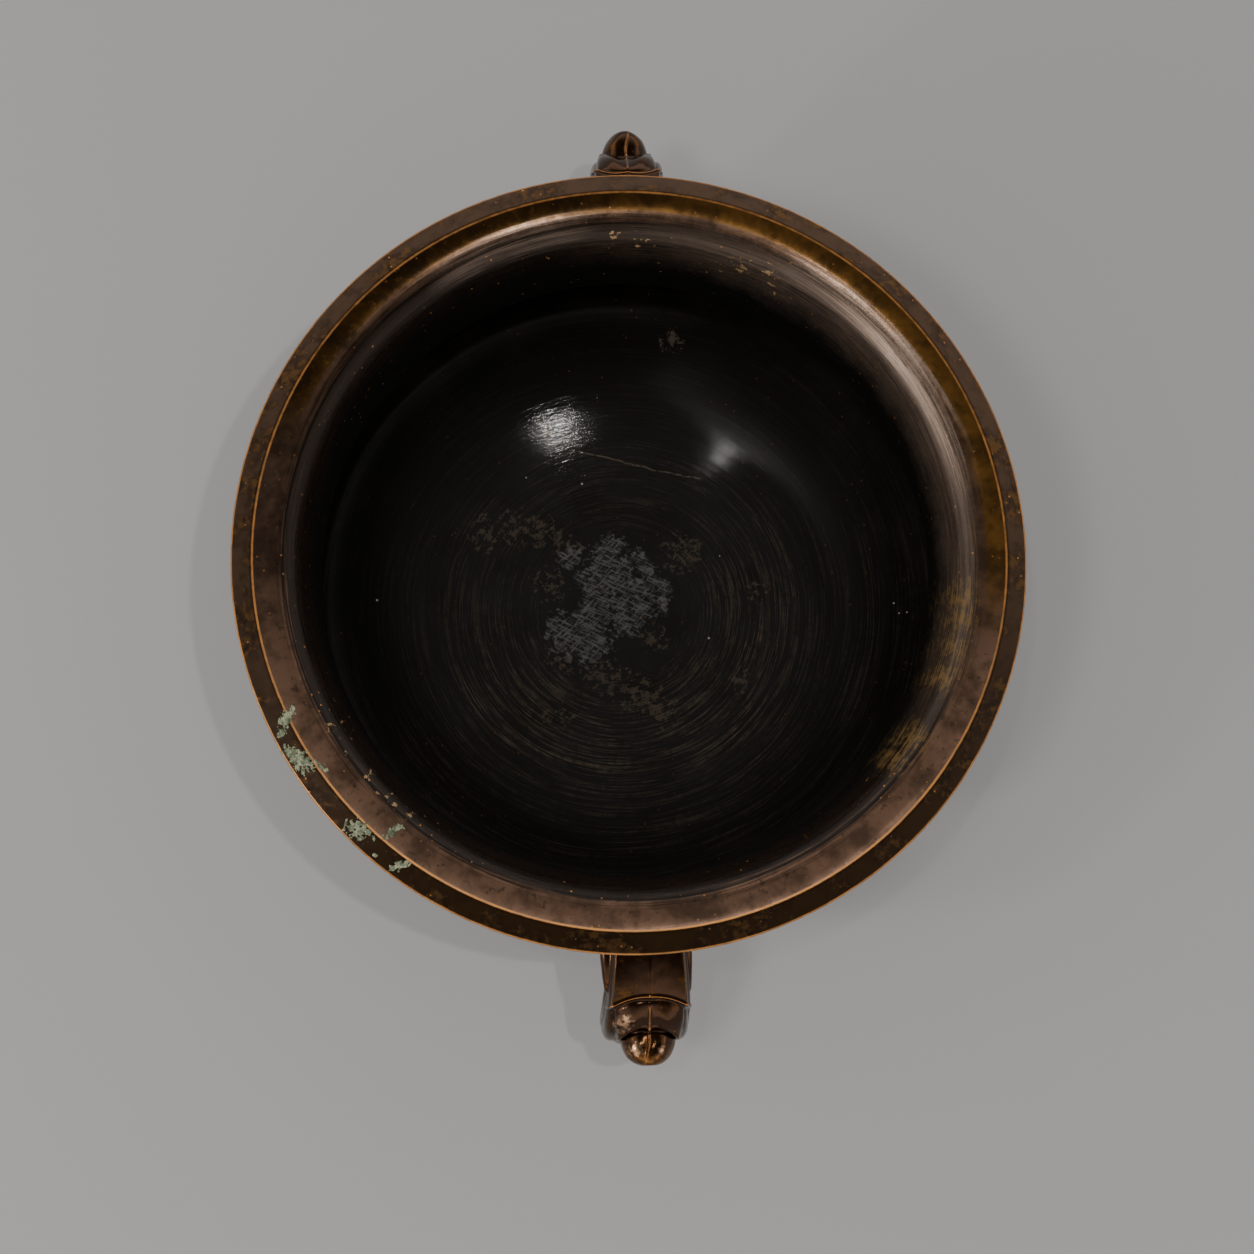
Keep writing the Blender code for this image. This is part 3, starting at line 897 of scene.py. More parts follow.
class Nodes:
    """Builds a material's node tree from short calls, each of which gives an output socket."""

    def __init__(self, name):
        self.material = bpy.data.materials.new(name)
        self.material.use_nodes = True
        self.tree = self.material.node_tree
        self.shader = self.tree.nodes["Principled BSDF"]

    def put(self, socket, value):
        if isinstance(value, bpy.types.NodeSocket):
            self.tree.links.new(value, socket)
        else:
            socket.default_value = value

    def node(self, kind, **settings):
        made = self.tree.nodes.new(kind)
        for name, value in settings.items():
            setattr(made, name, value)
        return made

    def math(self, operation, first, second=0.0, third=0.0, clamp=False):
        made = self.node("ShaderNodeMath", operation=operation, use_clamp=clamp)
        for socket, value in zip(made.inputs, (first, second, third)):
            self.put(socket, value)
        return made.outputs[0]

    def times(self, first, *others):
        for other in others:
            first = self.math("MULTIPLY", first, other)
        return first

    def largest(self, first, *others):
        for other in others:
            first = self.math("MAXIMUM", first, other)
        return first

    def plus(self, first, second):
        return self.math("ADD", first, second)

    def linear(self, value, slope, rest):
        """The value times slope, plus the rest."""
        return self.math("MULTIPLY_ADD", value, slope, rest)

    def vector(self, operation, first, second=None):
        made = self.node("ShaderNodeVectorMath", operation=operation)
        self.put(made.inputs[0], first)
        if second is not None:
            self.put(made.inputs[1], second)
        return made.outputs["Value" if operation in ("LENGTH", "DOT_PRODUCT", "DISTANCE") else "Vector"]

    def attribute(self, name):
        return self.node("ShaderNodeAttribute", attribute_name=name).outputs["Fac"]

    def place(self):
        return self.node("ShaderNodeTexCoord").outputs["Object"]

    def combine(self, x, y, z):
        made = self.node("ShaderNodeCombineXYZ")
        for socket, value in zip(made.inputs, (x, y, z)):
            self.put(socket, value)
        return made.outputs[0]

    def separate(self, vector):
        made = self.node("ShaderNodeSeparateXYZ")
        self.put(made.inputs[0], vector)
        return made.outputs

    def noise(self, vector, scale, detail, roughness):
        made = self.node("ShaderNodeTexNoise")
        for name, value in (("Vector", vector), ("Scale", scale), ("Detail", detail), ("Roughness", roughness)):
            self.put(made.inputs[name], value)
        return made.outputs["Fac"]

    def cells(self, vector, scale):
        """Distance to the nearest of scattered points."""
        made = self.node("ShaderNodeTexVoronoi")
        self.put(made.inputs["Vector"], vector)
        self.put(made.inputs["Scale"], scale)
        return made.outputs["Distance"]

    def between(self, value, low, high, first=0.0, second=1.0, smooth=True):
        """The value mapped from low..high onto first..second, held at both ends."""
        made = self.node("ShaderNodeMapRange", interpolation_type="SMOOTHSTEP" if smooth else "LINEAR")
        for socket, given in zip(made.inputs, (value, low, high, first, second)):
            self.put(socket, given)
        return made.outputs[0]

    def mix(self, share, first, second):
        """The first colour, turned into the second by the share."""
        made = self.node("ShaderNodeMix", data_type="RGBA", clamp_factor=True)
        self.put(made.inputs["Factor"], share)
        for name, value in (("A", first), ("B", second)):
            socket = next(s for s in made.inputs if s.name == name and s.type == "RGBA")
            self.put(socket, value if isinstance(value, bpy.types.NodeSocket) else (*value, 1.0))
        return next(s for s in made.outputs if s.type == "RGBA")

    def bump(self, height, distance, strength):
        made = self.node("ShaderNodeBump")
        for name, value in (("Height", height), ("Distance", distance), ("Strength", strength)):
            self.put(made.inputs[name], value)
        return made.outputs[0]

    def finish(self, **inputs):
        """Sets or links the shader's own sockets and gives the material."""
        for name, value in inputs.items():
            self.put(self.shader.inputs[name.replace("_", " ")], value)
        return self.material


def heading_and_radius(n, place):
    """Direction out from the bowl's axis, and distance from it."""
    x, y, _ = n.separate(place)
    flat = n.combine(x, y, 0.0)
    return n.vector("NORMALIZE", flat), n.vector("LENGTH", flat)


def towards(n, heading, x, y, low, high):
    """One side of the bowl: 0 where the heading has no more than low of the direction x, y, and 1 from high on."""
    return n.between(n.vector("DOT_PRODUCT", heading, (x, y, 0.0)), low, high)


def turned_noise(n, from_crest, heading, across, around, detail, roughness):
    """Noise drawn out round the bowl: across is how fine it is across the outline, around how fine along it."""
    x, y, _ = n.separate(heading)
    stretched = n.combine(n.times(from_crest, across), n.times(x, around), n.times(y, around))
    return n.noise(stretched, 1.0, detail, roughness)


def near(n, place, spots):
    """1 at each of the spots, falling to 0 at its radius. Each spot is x, y and radius in millimetres."""
    x, y, _ = n.separate(place)
    flat = n.combine(x, y, 0.0)
    found = []
    for spot_x, spot_y, radius in spots:
        gap = n.vector("DISTANCE", flat, (spot_x * MM, spot_y * MM, 0.0))
        found.append(n.math("SUBTRACT", 1.0, n.math("DIVIDE", gap, radius * MM), clamp=True))
    return n.largest(*found)


def ragged_at(n, closeness, grain, low, high, most=1.0, solid=1.0):
    """A ragged patch: grain eats into the closeness to its places, and nothing shows away from them."""
    found = n.between(n.linear(closeness, solid, grain), low, high, 0.0, most)
    return n.times(found, n.between(closeness, 0.0, PATCH_BORDER))


def line_at(n, distance, middle, inner, outer, strength):
    """A line at one distance: solid up to inner from its middle, gone at outer."""
    off = n.math("ABSOLUTE", n.math("SUBTRACT", distance, middle))
    return n.between(off, inner, outer, strength, 0.0)


def bright_grains(n, place, scale, inner, outer, strength, cloud, low, high):
    """Grains of bright metal: solid up to inner from their middles, gone at outer, none where the cloud is low."""
    return n.times(n.between(n.cells(place, scale), inner, outer, strength, 0.0), n.between(cloud, low, high))


def scaled(tone, share):
    """A darker or lighter colour of the same hue."""
    return tuple(channel * share for channel in tone)


PATCH_BORDER = 0.15  # share of a spot's radius over which its patch fades out

# Places of wear and dirt, and of painted highlights on the front head, each x, y and radius in millimetres
PATCH = (
    (-1.5, 9.5, 9.2), (4.9, 3.9, 8.0), (-4.7, 1.1, 6.0), (-10.7, -4.8, 7.4), (-6.1, -7.3, 6.4),
    (-10.9, 12.6, 3.4), (2.0, -1.5, 5.0),
)
BROWN_FLECKS = (
    (-29.2, 18.0, 5.0), (-23.3, 19.2, 5.2), (-16.8, 18.6, 4.6), (-11.4, 14.2, 4.0), (-15.4, 6.2, 5.0),
    (14.2, 13.2, 5.6), (7.5, -6.4, 4.0), (-13.2, -10.2, 5.0), (-5.0, -13.2, 5.0), (4.2, -19.5, 6.0),
    (-1.6, -16.2, 5.0), (8.8, -22.6, 5.0), (26.6, -16.5, 3.6), (30.8, 3.2, 3.0), (-14.1, -24.0, 4.0),
    (13.0, 59.8, 3.2), (-14.8, 40.4, 1.8),
)
PALE_SPECKS = (
    (-7.8, 29.2, 0.42), (-53.9, 2.2, 0.40), (19.9, -6.6, 0.42), (63.2, -3.4, 0.30), (61.6, -3.4, 0.28),
    (60.6, -1.0, 0.34), (22.9, 12.1, 0.26), (-20.4, 30.6, 0.28),
)
GOLD_WEAR = (
    (66.5, -9.4, 6.6), (66.0, -14.4, 6.2), (64.4, -19.6, 6.0), (61.8, -26.0, 6.0), (55.3, -38.4, 7.0),
    (51.4, -42.4, 6.0),
)
# Painted highlights on the front head's brow and nose
HEAD_GLINT_SPOTS = ((-2.8, -92.4, 2.4), (-0.3, -97.5, 2.2), (4.7, -97.8, 1.4))
TAN_FLECKS = (
    (25.2, 61.0, 2.6), (29.6, 59.6, 3.2), (31.0, 57.4, 2.6), (20.7, 61.6, 2.6), (3.8, 66.5, 2.6),
    (-2.1, 66.6, 3.0), (-57.6, -39.6, 2.6), (-59.0, -34.0, 3.6), (-49.2, -47.2, 3.4), (-52.6, -43.6, 2.8),
    (-45.0, -51.6, 2.8), (-33.0, -61.0, 2.6), (-57.8, -32.7, 1.8), (-55.4, -36.0, 1.8), (-57.3, -39.1, 1.8),
    (-49.2, -47.9, 2.0), (-47.6, -49.5, 1.8), (-60.0, -28.2, 1.6),
)

# The long scratch on the floor: where it starts, in metres, which way it runs and the way across it
SCRATCH_START = (-0.0092, 0.0368, 0.0)
SCRATCH_ALONG = (0.968, -0.2515, 0.0)
SCRATCH_ACROSS = (0.2515, 0.968, 0.0)


def floor_bronze(finish):
    """The blackened floor and belly inside: fine turning marks, flecks, and a scratched grey patch."""
    n = Nodes("blackened_floor_finish")
    place = n.place()
    heading, radius = heading_and_radius(n, place)
    from_crest = n.attribute("from_crest")
    x, y, _ = n.separate(place)
    cloud = n.noise(place, 70.0, 3.0, 0.6)
    flake = n.noise(place, 640.0, 3.0, 0.75)
    lines = turned_noise(n, from_crest, heading, 2.5, 2.4, 3.0, 0.75)
    broad = turned_noise(n, from_crest, heading, 0.35, 2.4, 2.0, 0.6)
    # Painted shade: the floor turns black towards the belly, under the throat
    base = n.mix(n.between(radius, 0.030, 0.066), finish.floor_colour, finish.painted_shade_and_patina_colour)
    base = n.mix(n.between(cloud, 0.35, 0.75, 0.0, 0.5), base, scaled(finish.dust_colour, 0.18))

    # Brown turning marks fill a ring round the patch, strongest by the front handle, and thin out beyond it
    ring = n.times(
        n.between(radius, 0.010, 0.027),
        n.between(radius, 0.0392, 0.0408, 1.0, 0.40),
        n.between(radius, 0.042, 0.060, 1.0, 0.45),
    )
    by_front = n.between(n.linear(x, -0.35, y), 0.022, -0.024, 0.30, 1.0)
    marks = n.times(ring, by_front, n.between(broad, 0.35, 0.62, 0.35, 1.0), n.between(lines, 0.47, 0.62))
    broken = n.between(flake, 0.35, 0.60, 0.35, 0.95)
    base = n.mix(n.times(marks, broken), base, scaled(finish.dust_colour, 1.25))

    # Brown flecks lie in arcs round the patch
    grain = n.linear(flake, 5.0, n.linear(lines, 1.6, -3.50))
    flecks = ragged_at(n, near(n, place, BROWN_FLECKS), grain, 0.10, 0.60, 0.62, 0.6)
    base = n.mix(flecks, base, scaled(finish.dust_colour, 1.3))

    # The patch: two crossing sets of straight scratches inside a ragged outline
    grain = n.linear(n.noise(place, 210.0, 3.0, 0.75), 2.6, n.linear(flake, 1.3, -1.95))
    patch = ragged_at(n, near(n, place, PATCH), grain, 0.10, 0.42)
    rising = n.linear(x, 0.42, n.times(y, 0.91))
    falling = n.linear(x, 0.71, n.times(y, -0.71))
    hatches = []
    for across, lengthwise, low, high in ((rising, falling, 0.49, 0.57), (falling, rising, 0.52, 0.60)):
        stretched = n.combine(n.times(across, 1900.0), n.times(lengthwise, 240.0), 0.0)
        hatches.append(n.between(n.noise(stretched, 1.0, 2.0, 0.6), low, high))
    ash = n.times(patch, n.linear(n.largest(*hatches), 0.75, n.between(flake, 0.42, 0.60, 0.0, 0.25)))
    base = n.mix(ash, base, finish.ash_colour)

    # One long scratch, fine grains of bright metal and a few pale specks
    from_start = n.vector("SUBTRACT", place, SCRATCH_START)
    travelled = n.vector("DOT_PRODUCT", from_start, SCRATCH_ALONG)
    off = n.plus(n.vector("DOT_PRODUCT", from_start, SCRATCH_ACROSS), n.linear(cloud, 0.0030, -0.0015))
    scratch = n.times(
        line_at(n, off, 0.0, 0.00006, 0.00024, 1.0),
        n.between(travelled, -0.001, 0.001),
        n.between(travelled, 0.027, 0.030, 1.0, 0.0),
        n.between(flake, 0.36, 0.52, 0.1, 0.6),
    )
    base = n.mix(scratch, base, scaled(finish.dust_colour, 2.2))
    grains = bright_grains(n, place, 380.0, 0.055, 0.100, 0.42, cloud, 0.42, 0.60)
    base = n.mix(grains, base, scaled(finish.wear_and_glint_colour, 0.6))
    base = n.mix(n.between(near(n, place, PALE_SPECKS), 0.25, 0.6), base, finish.speck_colour)

    # The patch, the marks and the outer floor on the right are duller than the rest
    matt = n.times(n.between(radius, 0.0430, 0.0560), towards(n, heading, 0.93, 0.37, 0.30, 0.85), 2.4)
    dull = n.largest(n.linear(marks, 0.2, ash), matt)
    rough = n.linear(dull, 0.22, n.between(cloud, 0.3, 0.7, 0.060, 0.085, smooth=False))
    relief = n.bump(lines, 0.000020, 0.8)
    return n.finish(Base_Color=base, Metallic=0.10, Roughness=rough, Normal=relief, Specular_IOR_Level=0.075)


def slope_bronze(finish):
    """The slope inside the crest, and the lip outside it: brown and amber patina, bright along both arrises."""
    n = Nodes("lip_finish")
    place = n.place()
    heading, _ = heading_and_radius(n, place)
    from_crest = n.attribute("from_crest")
    inside = n.times(from_crest, -1.0)
    cloud = n.noise(place, 120.0, 3.0, 0.68)
    fine = n.noise(place, 620.0, 3.0, 0.68)
    streaks = turned_noise(n, from_crest, heading, 1.25, 2.0, 3.0, 0.72)
    scratches = turned_noise(n, from_crest, heading, 3.2, 6.0, 3.0, 0.7)
    lit_side = towards(n, heading, 0.87, 0.50, 0.20, 1.0)
    front_half = towards(n, heading, 0.0, -1.0, -0.10, 0.50)

    # Brown by the crest, paler in the front half, with amber in the back half
    by_crest = n.mix(front_half, scaled(finish.neck_colour, 2.20), scaled(finish.neck_colour, 3.80))
    # Painted light: the amber is made brighter on the side towards the lamps
    amber_lit_side = towards(n, heading, 0.87, 0.50, 0.25, 0.90)
    amber = n.mix(amber_lit_side, scaled(finish.amber_colour, 1.4), scaled(finish.amber_colour, 4.2))
    amber_end = n.between(n.linear(streaks, 1.2, inside), 4.0, 5.0, 1.0, 0.15)
    amber_side = n.times(towards(n, heading, 0.26, 0.97, -0.05, 0.25), amber_end)
    by_crest = n.mix(amber_side, by_crest, amber)
    by_crest = n.mix(n.between(cloud, 0.38, 0.64, 0.0, 0.55), by_crest, finish.painted_shade_and_patina_colour)
    blotch = n.mix(amber_side, scaled(finish.painted_shade_and_patina_colour, 2.0), finish.blotch_colour)
    by_crest = n.mix(n.between(fine, 0.56, 0.70, 0.0, 0.55), by_crest, blotch)

    # Streaks from the turned line inwards, paler on the lit side as painted light, which end ragged in the
    # throat's painted black shade
    edge = n.plus(inside, n.between(streaks, 0.3, 0.7, -1.3, 1.3))
    # Painted light: the streaks are paler on the side towards the lamps
    pale = n.mix(lit_side, scaled(finish.neck_colour, 0.32), finish.lit_side_painted_colour)
    shaded = n.mix(0.55, pale, finish.painted_shade_and_patina_colour)
    streaked = n.mix(n.between(n.plus(streaks, scratches), 0.80, 1.16), shaded, pale)
    tone = n.mix(n.between(edge, 4.4, 7.2), by_crest, streaked)
    # Painted shade: the slope turns black down into the throat, starting deeper on the lit side
    deep = n.plus(inside, n.between(n.linear(streaks, 0.6, cloud), 0.5, 1.1, -2.6, 2.6))
    black_start, black_end = n.plus(lit_side, 9.5), n.linear(lit_side, 5.0, 19.0)
    tone = n.mix(n.between(deep, black_start, black_end), tone, finish.painted_shade_and_patina_colour)

    # Painted highlights: the slope is made pale in two places at the back, where the lamps' glints fall
    glint_side = n.largest(
        towards(n, heading, 0.82, 0.57, 0.86, 0.99),
        n.times(towards(n, heading, -0.34, 0.94, 0.955, 0.996), 0.45),
    )
    band = n.times(n.between(edge, 3.6, 5.0), n.between(edge, 6.8, 10.5, 1.0, 0.0))
    painted_glint = n.times(band, glint_side, n.between(scratches, 0.36, 0.60, 0.40, 0.95))
    tone = n.mix(painted_glint, tone, finish.painted_glint_colour)

    # A dark line turned inside the crest, clearest away from the light
    groove = n.times(line_at(n, inside, 6.4, 0.08, 0.40, 0.8), n.between(lit_side, 0.10, 0.75, 1.0, 0.0))
    tone = n.mix(groove, tone, finish.painted_shade_and_patina_colour)

    # The lip's outer slope
    lip = n.mix(towards(n, heading, 0.10, -0.99, -0.1, 0.9), finish.lip_colour, finish.lip_front_colour)
    lip = n.mix(n.between(cloud, 0.40, 0.66, 0.0, 0.85), lip, scaled(finish.lip_colour, 0.26))
    rubbed_lip = n.between(n.linear(fine, 0.7, cloud), 0.86, 1.06, 0.0, 0.55)
    lip = n.mix(rubbed_lip, lip, finish.rubbed_lip_colour)
    tone = n.mix(n.between(from_crest, -0.12, 0.18), tone, lip)

    # Bright metal: both arrises and scattered grains, gold wear drawn out round the slope, and tan flecks
    patchy = n.between(n.linear(fine, 0.5, cloud), 0.55, 0.90, 0.55, 1.0)
    crest = line_at(n, from_crest, 0.0, 0.05, 0.36, 0.95)
    rim = line_at(n, from_crest, 5.0, 0.10, 0.42, 0.75)
    arris = n.times(n.largest(crest, rim), patchy)
    grains = bright_grains(n, place, 520.0, 0.08, 0.14, 0.60, cloud, 0.46, 0.62)
    tone = n.mix(n.largest(arris, grains), tone, finish.arris_colour)
    grain = n.linear(scratches, 3.0, n.linear(fine, 2.0, -2.85))
    wear = ragged_at(n, near(n, place, GOLD_WEAR), grain, 0.08, 0.80, 0.70)
    tone = n.mix(n.times(wear, n.between(inside, 3.2, 4.6)), tone, finish.gold_colour)
    grain = n.linear(fine, 3.6, n.linear(streaks, 1.2, -3.05))
    flecks = ragged_at(n, near(n, place, TAN_FLECKS), grain, 0.14, 0.36, 0.85, 0.72)
    tone = n.mix(n.times(flecks, n.between(inside, 3.0, 4.0)), tone, finish.tan_colour)

    height = n.linear(streaks, n.between(inside, 3.0, 7.0, 0.10, 1.0), n.times(fine, 0.20))
    rough = n.linear(arris, 0.24, n.between(fine, 0.3, 0.7, 0.17, 0.27, smooth=False))
    rough = n.linear(n.between(scratches, 0.35, 0.65, 0.0, 0.16), n.between(inside, 4.0, 7.0), rough)
    metallic = n.linear(front_half, -0.26, n.between(inside, 5.0, 9.0, 0.78, 0.45))
    metallic = n.largest(metallic, arris)
    relief = n.bump(height, 0.00008, 0.8)
    return n.finish(Base_Color=tone, Metallic=metallic, Roughness=rough, Normal=relief, Specular_IOR_Level=0.25)


def outside_bronze(finish):
    """The body, the foot and the underside: even dark brown patina, warmer in places and worn along its edges."""
    n = Nodes("outer_body_finish")
    place = n.place()
    heading, _ = heading_and_radius(n, place)
    cloud = n.noise(place, 60.0, 4.0, 0.6)
    fine = n.noise(place, 480.0, 3.0, 0.65)
    streaks = turned_noise(n, n.attribute("from_crest"), heading, 0.8, 3.0, 2.0, 0.6)
    tone = n.mix(n.between(cloud, 0.35, 0.68), finish.body_colour, scaled(finish.body_colour, 0.5))
    warm = n.between(n.linear(fine, 0.4, cloud), 0.62, 0.84, 0.0, 0.6)
    tone = n.mix(warm, tone, scaled(finish.lip_colour, 1.1))
    worn = n.times(n.attribute("worn"), n.between(fine, 0.3, 0.6, 0.25, 0.75))
    grains = bright_grains(n, place, 380.0, 0.05, 0.09, 0.4, cloud, 0.50, 0.66)
    tone = n.mix(n.largest(worn, grains), tone, finish.wear_and_glint_colour)
    rough = n.between(fine, 0.3, 0.7, 0.33, 0.48, smooth=False)
    relief = n.bump(n.linear(streaks, 0.3, n.times(fine, 0.35)), 0.00009, 0.7)
    return n.finish(Base_Color=tone, Metallic=0.85, Roughness=rough, Normal=relief)


def handle_bronze(finish):
    """The handles: painted shade nearly black in the hollows, red-brown on the faces, and bright along the carved
    arrises with wear and painted highlight.
    """
    n = Nodes("handle_finish")
    place = n.place()
    cloud = n.noise(place, 210.0, 3.0, 0.65)
    fine = n.noise(place, 950.0, 3.0, 0.7)
    _, y, z = n.separate(place)
    tone = n.mix(n.between(cloud, 0.42, 0.66), finish.head_colour, scaled(finish.head_colour, 0.40))
    front_nose = n.between(y, -0.0985, -0.0930, 1.0, 0.0)
    warm = n.largest(front_nose, n.between(cloud, 0.46, 0.66, 0.0, 0.5))
    warm = n.times(warm, n.between(n.linear(fine, 0.9, cloud), 0.80, 1.08))
    tone = n.mix(warm, tone, finish.nose_colour)
    # Painted highlights: pale spots on the front head's brow and nose where the glints fall
    grain = n.linear(fine, 2.6, n.linear(cloud, 1.4, -2.05))
    head_glint = ragged_at(n, near(n, place, HEAD_GLINT_SPOTS), grain, 0.05, 0.90, 0.90)
    tone = n.mix(n.times(head_glint, n.between(z, 0.0405, 0.0440)), tone, finish.painted_head_glint_colour)
    # Painted shade: the hollows are made nearly black
    tone = n.mix(n.times(n.attribute("sunken"), 0.62), tone, finish.hollow_shade_colour)
    # Rubbed bronze along the carved arrises, drawn as thin bright lines that are also painted highlights
    worn = n.times(n.attribute("worn"), n.between(fine, 0.25, 0.55, 0.45, 0.95))
    grains = bright_grains(n, place, 620.0, 0.08, 0.13, 0.7, cloud, 0.50, 0.62)
    tone = n.mix(n.largest(worn, grains), tone, finish.wear_and_glint_colour)
    rough = n.between(fine, 0.3, 0.7, 0.13, 0.22, smooth=False)
    relief = n.bump(n.linear(cloud, 0.5, n.times(fine, 0.3)), 0.00008, 0.6)
    return n.finish(Base_Color=tone, Metallic=0.97, Roughness=rough, Normal=relief)


def verdigris_finish(finish):
    """Pale green crust, granular, darker in its hollows."""
    n = Nodes("verdigris_crust_finish")
    place = n.place()
    grains = n.cells(place, 2600.0)
    pale = n.between(n.noise(place, 700.0, 4.0, 0.65), 0.35, 0.62)
    tone = n.mix(pale, finish.verdigris_dark_colour, finish.verdigris_colour)
    tone = n.mix(n.between(grains, 0.45, 0.8), tone, scaled(finish.verdigris_colour, 0.45))
    relief = n.bump(grains, 0.00008, 0.8)
    return n.finish(Base_Color=tone, Roughness=0.85, Normal=relief, Specular_IOR_Level=0.25)


def floor_finish(studio):
    """The studio's plain pale floor, very slightly clouded."""
    n = Nodes("studio_floor_finish")
    cloud = n.noise(n.place(), 9.0, 3.0, 0.5)
    tone = n.mix(cloud, scaled(studio.floor_colour, 0.97), studio.floor_colour)
    return n.finish(Base_Color=tone, Roughness=0.8)


# Pieces


class BOWL_OT_make_casting(bpy.types.Operator):
    """Makes the bowl, its foot and both handles as one bronze casting"""

    bl_idname = "bowl.make_casting"
    bl_label = "Make the casting"

    def execute(self, context):
        sizes, handles = context.scene.bowl_sizes, context.scene.bowl_handles
        outline = Outline(sizes)
        body = face_out(turned_body("bronze_bowl", sizes, outline))
        front = placed_handle("front_handle", handles, sizes, 0.0)
        back = placed_handle("back_handle", handles, sizes, math.pi, handles.back_width)
        bowl = united(body, [front, back])
        keep_inside(bowl)
        bowl.data.shade_smooth()
        from_crest, handle = measure_surface(bowl, outline)
        finish = context.scene.bowl_finish
        finishes = [floor_bronze(finish), slope_bronze(finish), outside_bronze(finish), handle_bronze(finish)]
        finish_faces(bowl, from_crest, handle, finishes)
        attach(bowl, "root")
        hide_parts(NODE)
        return {"FINISHED"}


# Each streak of verdigris: where it starts and where it ends, in degrees round from +X and millimetres out from
# the crest, and its half width in millimetres
VERDIGRIS_STREAKS = (
    (-155.4, -1.1, -154.6, 1.2, 0.75),
    (-154.9, 1.0, -153.4, 2.6, 0.85),
    (-153.4, 2.8, -153.0, 4.0, 0.45),
    (-150.4, 3.3, -147.3, 1.0, 1.25),
    (-149.2, 2.2, -148.2, 3.0, 1.20),
    (-147.3, 3.3, -146.6, 3.2, 0.40),
    (-146.4, -0.4, -145.0, -1.1, 0.55),
    (-135.9, 2.6, -134.0, 1.1, 1.45),
    (-134.6, 3.3, -134.0, 3.0, 0.60),
    (-131.6, -0.6, -131.2, -1.9, 0.55),
    (-131.2, -2.6, -130.8, -4.5, 0.65),
    (-131.1, 3.7, -130.8, 3.8, 0.40),
    (-127.9, 3.6, -127.3, 2.4, 0.60),
    (-127.2, 2.0, -126.4, 0.7, 0.60),
)


CRUST_STEP = 0.13  # spacing of a crust's points in millimetres
CRUST_SPREAD = 1.9  # half widths from a streak's line to the border of its mesh
CRUST_ROOT = 0.45 * MM  # how deep a crust's underside lies in the bronze


class BOWL_OT_make_verdigris(bpy.types.Operator):
    """Makes the crusts of verdigris on the lip"""

    bl_idname = "bowl.make_verdigris"
    bl_label = "Make the verdigris"

    def execute(self, context):
        sizes, finish = context.scene.bowl_sizes, context.scene.bowl_finish
        outline = Outline(sizes)
        points, faces = [], []
        for seed, streak in enumerate(VERDIGRIS_STREAKS):
            crust_points, crust_faces = crust(outline, finish, seed, *streak)
            faces += [tuple(len(points) + i for i in face) for face in crust_faces]
            points += crust_points
        made = face_out(new_object("verdigris_crust", points, faces))
        keep_inside(made)
        made.data.materials.append(verdigris_finish(finish))
        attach(made, "root")
        return {"FINISHED"}


def crust(outline, finish, seed, start_angle, start_out, end_angle, end_out, half_width):
    """One closed crust: its top stands proud inside a ragged outline and dives into the bronze outside it."""
    spread = CRUST_SPREAD * half_width
    middle_angle, middle_out = (start_angle + end_angle) / 2, (start_out + end_out) / 2
    mean_radius = float(outline.at(outline.crest + middle_out * MM)[0][0]) / MM
    half_round = math.radians(end_angle - start_angle) / 2 * mean_radius
    half_out = (end_out - start_out) / 2
    reach_out, reach_round = abs(half_out) + spread, abs(half_round) + spread
    rows, columns = (max(6, int(2 * reach / CRUST_STEP)) for reach in (reach_out, reach_round))
    across = np.linspace(-reach_out, reach_out, rows)
    round_ = np.linspace(-reach_round, reach_round, columns)
    point, normal = outline.at(outline.crest + (middle_out + across) * MM)
    length_squared = half_out**2 + half_round**2
    top, bottom = [], []
    for row in range(rows):
        for column in range(columns):
            share = (across[row] * half_out + round_[column] * half_round) / length_squared
            share = max(-1.0, min(1.0, share))
            gap = math.hypot(across[row] - share * half_out, round_[column] - share * half_round)
            angle = math.radians(middle_angle) + round_[column] / mean_radius
            place = Vector((math.cos(angle) * point[row][0], math.sin(angle) * point[row][0], point[row][1]))
            ragged = noise.fractal(place * 1300.0 + Vector((seed, 0, 0)), 0.7, 2.0, 4)
            grain = noise.noise(place * 3200.0)
            edge = 0.80 - gap / half_width + 1.35 * ragged
            height = finish.crust_height * (max(-1.0, min(1.0, 2.2 * edge)) * 0.8 + 0.22 * grain)
            for side, lift in ((top, height), (bottom, -CRUST_ROOT)):
                reach, rise = point[row] + normal[row] * lift
                side.append((reach * math.cos(angle), reach * math.sin(angle), rise))
    size = rows * columns
    faces = [tuple(face) for face in grid_faces(rows, columns, closed=False).tolist()]
    faces += [tuple(size + i for i in reversed(face)) for face in faces]
    border = list(range(columns))
    border += [r * columns + columns - 1 for r in range(1, rows)]
    border += [(rows - 1) * columns + c for c in range(columns - 2, -1, -1)]
    border += [r * columns for r in range(rows - 2, 0, -1)]
    for here, after in zip(border, border[1:] + border[:1]):
        faces.append((after, here, size + here, size + after))
    return top + bottom, faces


class BOWL_OT_make_stage(bpy.types.Operator):
    """Makes the pale floor, the soft lights and the camera"""

    bl_idname = "bowl.make_stage"
    bl_label = "Make the studio"

    def execute(self, context):
        studio = context.scene.bowl_studio
        half = FLOOR_SIDE / 2
        corners = [(-half, -half, 0), (half, -half, 0), (half, half, 0), (-half, half, 0)]
        floor = new_object("studio_floor", corners, [(0, 1, 2, 3)])
        floor.data.materials.append(floor_finish(studio))
        for name, direction, side, share in SOFT_BOXES:
            soft_box(name, studio, Vector(direction), side, share)
        surroundings(studio)
        camera(studio)
        return {"FINISHED"}


